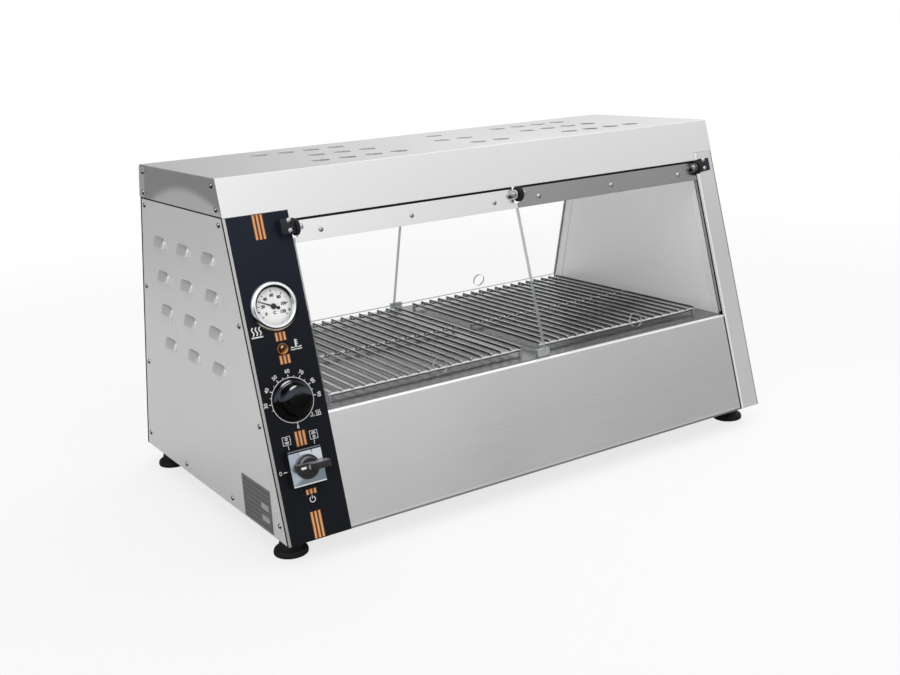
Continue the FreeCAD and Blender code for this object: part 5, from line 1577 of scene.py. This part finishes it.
@dataclass
class OverlayPrint:
    """The print on the control overlay: stripes, the thermostat's scale and plain pictograms."""

    level: float = 0.6
    stripe_middle: float = -380.0
    stripe_pitch: float = 5.4
    stripe_width: float = 2.7
    stripe_border: float = 1.1
    stripe_lean: float = 0.0048
    stripe_upright: float = 130.0
    stripe_runs: tuple[tuple[float, float], ...] = (
        (388.0, 420.4), (257.4, 268.8), (227.6, 239.2), (121.0, 140.6), (58.0, 65.0), (1.0, 36.0),
    )
    stripe_end: float = 0.3
    ring_radius: float = 29.0
    tick_turn: float = 15.0
    degree_turn: float = 3.0
    top_figure: int = 60
    figure_ring: float = 8.2
    figure_size: float = 7.0
    zero_drop: float = 6.2
    zero_size: float = 6.2
    bold: float = 0.1
    heat_signs: tuple[tuple[Point, float], ...] = (((-410.2, 267.4), 1.0), ((-349.0, 154.6), 0.52))
    bath_signs: tuple[tuple[Point, float], ...] = (((-361.0, 243.4), 1.0), ((-357.8, 154.6), 0.42))
    tray_signs: tuple[tuple[Point, Point, float], ...] = (
        ((-399.8, 131.5), (-398.4, 119.6), 1.0), ((-361.4, 131.5), (-362.8, 119.6), -1.0),
    )
    frame_half: float = 5.3
    off_figure: Point = (-416.4, 92.8)
    off_size: float = 7.6
    off_line: tuple[Point, Point] = ((-412.2, 93.0), (-407.0, 93.0))
    power_sign: Point = (-380.4, 51.4)

    def build(self) -> None:
        """Print the stripes and the white marks."""
        self.low, self.high = ink_levels(self.level)
        self.white = Draft(FRONT.matrix())
        self._stripes()
        self._thermostat_scale()
        for place, scale in self.heat_signs:
            self._sign(place, scale, self._heat_waves())
        for place, scale in self.bath_signs:
            self._sign(place, scale, self._bath())
        for sign in self.tray_signs:
            self._tray(*sign)
        self._switch_marks()
        self.white.show("overlay_white_print", "cabinet", WHITE_INK, "dial_white")

    def _line(self, points: Sequence[Point], width: float, closed: bool = False) -> None:
        """Print one white stroke."""
        self.white.ribbon(points, width, self.low, self.high, closed)

    def _figure(self, figure: str, size: float, spot: Matrix, bold: float = 0.0) -> None:
        """Print one white figure."""
        self.white.lettering(figure, size, self.low, self.high, spot, bold)

    def _stripes(self) -> None:
        """Print the orange stripes in threes on a brown ground, all in one line up the overlay."""
        ground = Draft(FRONT.matrix())
        stripes = Draft(FRONT.matrix())
        half = self.stripe_width / 2
        reach = self.stripe_pitch + half + self.stripe_border
        ground_top = self.level + INK_HEIGHT / 2
        for start, end in self.stripe_runs:
            centre = self.stripe_middle + self.stripe_lean * ((start + end) / 2 - self.stripe_upright)
            ground.block((centre - reach, start, self.low), (centre + reach, end, ground_top))
            for number in (-1, 0, 1):
                middle = centre + number * self.stripe_pitch
                first, last = start + self.stripe_end, end - self.stripe_end
                stripes.block((middle - half, first, self.low), (middle + half, last, self.high))
        ground.show("overlay_stripe_ground", "cabinet", BROWN_INK, "overlay")
        stripes.show("overlay_orange_stripes", "cabinet", ORANGE_INK, "overlay")

    def _thermostat_scale(self) -> None:
        """Print the ring, the ticks and the figures round the knob."""
        knob = FRONT.centre("thermostat_knob")
        self._line(arc(knob, self.ring_radius, 0, 360, 96)[:-1], 0.9, True)
        for number in range(-7, 7):
            angle = number * self.tick_turn
            major = number % 2 == 0
            outer = self.ring_radius + (4.0 if major else 2.4)
            ends = [on_dial(knob, radius, angle) for radius in (self.ring_radius, outer)]
            self._line(ends, 1.1 if major else 0.8)
        for figure in range(30, 91, 10):
            angle = (figure - self.top_figure) * self.degree_turn
            spot = on_dial(knob, self.ring_radius + self.figure_ring, angle)
            self._figure(str(figure), self.figure_size, at(*spot, turn=-angle), self.bold)
        foot = knob.y - self.ring_radius
        self._line([(knob.x, foot), (knob.x, foot - 3.2)], 1.2)
        self._figure("0", self.zero_size, at(knob.x, foot - self.zero_drop), self.bold)

    def _sign(self, foot: Point, scale: float, strokes: Strokes) -> None:
        """Print the strokes of a sign, each with its width, at a place and a scale."""
        for points, width in strokes:
            self._line([(foot[0] + x * scale, foot[1] + y * scale) for x, y in points], width * scale)

    @staticmethod
    def _heat_waves() -> Strokes:
        """Return three rising waves over a bar."""
        strokes: Strokes = [([(-7.8, 0.0), (7.8, 0.0)], 1.7)]
        shares = [step / 16 for step in range(17)]
        sways = [1.5 * math.sin(WHOLE_TURN * share) + 1.6 * (share - 0.5) for share in shares]
        for middle in (-4.9, 0.0, 4.9):
            wave = [(middle + sway, 2.2 + 10.6 * share) for sway, share in zip(sways, shares)]
            strokes.append((wave, 1.65))
        return strokes

    @staticmethod
    def _bath() -> Strokes:
        """Return a thermometer that stands in water."""
        strokes: Strokes = [([(0.0, 2.4), (0.0, 12.8)], 2.0)]
        strokes += [([(0.8, level), (3.2, level)], 1.1) for level in (11.6, 9.0, 6.4)]
        for level, gap in ((0.0, 0.0), (2.8, 2.2)):
            reaches = [gap + (7.8 - gap) * step / 8 for step in range(9)]
            for side in (-1, 1):
                wave = [(side * reach, level + 0.5 * math.sin(reach * 1.3)) for reach in reaches]
                strokes.append((wave, 1.1))
        return strokes

    def _tray(self, middle: Point, leader: Point, shift: float) -> None:
        """Print a framed tray, heated from above (1) or below (-1), and its leader to the switch."""
        x, y = middle
        half = self.frame_half
        corners = ((-half, -half), (half, -half), (half, half), (-half, half))
        self._line([(x + across, y + up) for across, up in corners], 0.9, True)
        self._line(arc((x, y + shift * 2.3), 1.5, 0, 360, 24)[:-1], 0.9, True)
        for reach, drop in ((3.2, 1.6), (2.2, 3.3)):
            self._line([(x - reach, y - shift * drop), (x + reach, y - shift * drop)], 1.0)
        self._line([(x + (leader[0] - x) * 0.4, y - half - 1.2), leader], 0.9)

    def _switch_marks(self) -> None:
        """Print the off mark beside the switch and the power sign under it."""
        self._figure("0", self.off_size, at(*self.off_figure))
        self._line(self.off_line, 1.2)
        self._line(arc(self.power_sign, 3.7, 32, 328, 40), 1.1)
        x, y = self.power_sign
        self._line([(x, y + 0.8), (x, y + 5.2)], 1.1)


@dataclass
class RatingPlate:
    """The bare rating plate: a plain border, blank rows and two empty fields."""

    border: float = 2.0
    line: float = 0.5
    rows: int = 7

    def build(self) -> None:
        """Print the plate's border, rows and fields."""
        low, high = (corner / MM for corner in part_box("rating_plate"))
        turn = Matrix.Rotation(-math.pi / 2, 4, "Y")
        draft = Draft(Matrix.Translation((low.x * MM, 0, 0)) @ turn @ Matrix.Scale(MM, 4))
        bottom, top = ink_levels(0.0)
        first, last = low.z + self.border, high.z - self.border
        start, end = low.y + self.border, high.y - self.border
        draft.ribbon([(first, start), (last, start), (last, end), (first, end)], self.line, bottom, top, True)
        pitch = (last - first) / (self.rows + 1)
        for number in range(1, self.rows + 1):
            level = first + pitch * number
            draft.ribbon([(level, start + 3), (level, end - 3)], self.line * 0.7, bottom, top)
        for share in (0.18, 0.48):
            level = first + (last - first) * share
            draft.block((level, start + 6, bottom), (level + pitch * 1.1, start + 28, top + 0.04))
        draft.show("rating_plate_fields", "cabinet", LABEL_INK, "silver_plate")


@dataclass
class Studio:
    """The photographer's set: camera, soft light, white surround and pale floor."""

    image_width: float = 900.0
    focal_pixels: float = 1168.8
    sensor: float = 36.0
    azimuth: float = -32.69
    elevation: float = 14.81
    roll: float = -3.14
    camera_place: Point = (-0.9761, -1.5206, 0.6514)
    panels: tuple[tuple[str, Point, float], ...] = (
        ("key_panel", (-1.6, -2.1, 2.3), 12.0), ("top_panel", (0.6, 0.3, 2.8), 6.0),
    )
    panel_size: float = 2.4
    panel_aim: Point = (0.0, 0.0, 0.22)
    room_low: float = 0.38
    room_sky: float = 0.84
    room_back: float = 0.31
    room_left: float = 0.9
    room_right: float = 1.6
    lens_dim: float = 0.85
    floor_size: float = 16.0
    floor_drop: float = 0.0004

    def build(self) -> None:
        """Set the camera, the surround, the lamps and the floor."""
        scene = bpy.context.scene
        scene.view_settings.view_transform = "Standard"
        self._camera(scene)
        self._surround(scene)
        for panel in self.panels:
            self._lamp(*panel)
        self._floor()

    def _backward(self) -> Vector:
        """Return the way from the object to the camera."""
        azimuth, elevation = math.radians(self.azimuth), math.radians(self.elevation)
        level = math.cos(elevation)
        return Vector((math.sin(azimuth) * level, -math.cos(azimuth) * level, math.sin(elevation)))

    def _camera(self, scene: bpy.types.Scene) -> None:
        """Place the camera where the photograph was taken."""
        roll = math.radians(self.roll)
        back = self._backward()
        right = (-back).cross(Vector((0, 0, 1))).normalized()
        upward = right.cross(-back)
        side = right * math.cos(roll) + upward * math.sin(roll)
        head = upward * math.cos(roll) - right * math.sin(roll)
        data = bpy.data.cameras.new("photo_camera")
        data.sensor_fit = "HORIZONTAL"
        data.sensor_width = self.sensor
        data.lens = self.focal_pixels * self.sensor / self.image_width
        camera = bpy.data.objects.new("photo_camera", data)
        turn = Matrix((side, head, back)).transposed().to_4x4()
        camera.matrix_world = Matrix.Translation(self.camera_place) @ turn
        scene.collection.objects.link(camera)
        scene.camera = camera

    def _surround(self, scene: bpy.types.Scene) -> None:
        """Light the world: white to the eye; to the steel a pale room, bright above and dim by the lens."""
        world = bpy.data.worlds.new("white_studio")
        world.use_nodes = True
        scene.world = world
        board = Board(world.node_tree)
        way = board.socket("ShaderNodeTexCoord", output="Generated")
        x, y, z = board.axes(way)
        rise = board.ramp(z, -0.1, 0.45) * (1.0 - board.ramp(z, 0.45, 0.8) * 0.3)
        dim = board.ramp(board.dot(way, self._backward()), 0.8, 0.97)
        room = (self.room_low + rise * self.room_sky) * (1.0 - y * self.room_back)
        room *= (1.0 + x.most(-0.25) * y * self.room_left) * (1.0 - dim * self.lens_dim)
        room *= 1.0 + (x - 0.55) * y.most(0.0) * rise * self.room_right
        lit = board.socket("ShaderNodeBackground", sockets={"Color": room, "Strength": 1.0})
        white = board.socket("ShaderNodeBackground", sockets={"Color": (1, 1, 1, 1), "Strength": 1.0})
        seen = board.ray("Camera").most(board.ray("Transmission"))
        board.finish(board.mix(seen, lit, white), "ShaderNodeOutputWorld")

    def _lamp(self, name: str, place: Point, power: float) -> None:
        """Hang a soft square lamp that faces the object."""
        data = bpy.data.lights.new(name, "AREA")
        data.size = self.panel_size
        data.energy = power
        lamp = bpy.data.objects.new(name, data)
        lamp.location = place
        aim = Vector(self.panel_aim) - Vector(place)
        lamp.rotation_euler = aim.to_track_quat("-Z", "Y").to_euler()
        bpy.context.scene.collection.objects.link(lamp)

    def _floor(self) -> None:
        """Lay the pale floor, white to the eye but for the object's soft shadow."""
        half = self.floor_size / 2
        mesh = bpy.data.meshes.new("pale_floor")
        corners = [(-half, -half, 0), (half, -half, 0), (half, half, 0), (-half, half, 0)]
        mesh.from_pydata(corners, [], [(0, 1, 2, 3)])
        mesh.materials.append(material(PaleFloor("pale_floor")))
        floor = bpy.data.objects.new("pale_floor", mesh)
        floor.location.z = -self.floor_drop
        bpy.context.scene.collection.objects.link(floor)


@dataclass(frozen=True)
class PaleFloor(Finish):
    """A white floor that keeps a soft shadow and falls off to grey in the steel's reflection."""

    paper: Colour = grey(0.9)
    near: float = 0.62
    far: float = 0.44
    lift: float = 0.75

    def shade(self, board: Board) -> Socket:
        """Build the floor's shader."""
        spot = board.place()
        distance = board.socket("ShaderNodeVectorMath", {"operation": "LENGTH"}, {0: spot}, output="Value")
        fall = board.ramp(distance, 1.3, 2.4)
        level = 1 - board.ray("Glossy") * (1 - self.near + fall * (self.near - self.far))
        rough = 0.85 + board.noise(spot, 40.0) * 0.1
        paper = board.principled(Base_Color=board.tint(level, BLACK, self.paper), Roughness=rough)
        white = board.socket("ShaderNodeEmission", sockets={"Color": (1, 1, 1, 1), "Strength": 1.0})
        far_off = board.ramp(distance, 1.2, 2.6)
        seen = board.ray("Camera") * (self.lift + far_off * (1 - self.lift))
        return board.mix(seen, paper, white)


def dress_frame() -> None:
    """Give each CAD node that stays its finish."""
    for finish, nodes in NODE_FINISHES.items():
        for name in nodes:
            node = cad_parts[name]
            if not node.material_slots:
                node.data.materials.append(None)
            for holder in node.material_slots:
                holder.material = material(finish)
            LOG.info("node %s dressed in %s", name, finish.name)


def main() -> None:
    """Build every sub-assembly in order and set the studio round it."""
    logging.basicConfig(level=logging.INFO, format="%(message)s")
    dress_frame()
    for part in (
        SidePanel(), JointShadeBeads(), Feet(), Screws(), Hinges(), Thermometer(), PILOT_LENS, THERMOSTAT_KNOB,
        CamSwitch(), OverlayPrint(), RatingPlate(),
    ):
        part.build()
    Studio().build()


if __name__ == "__main__":
    main()
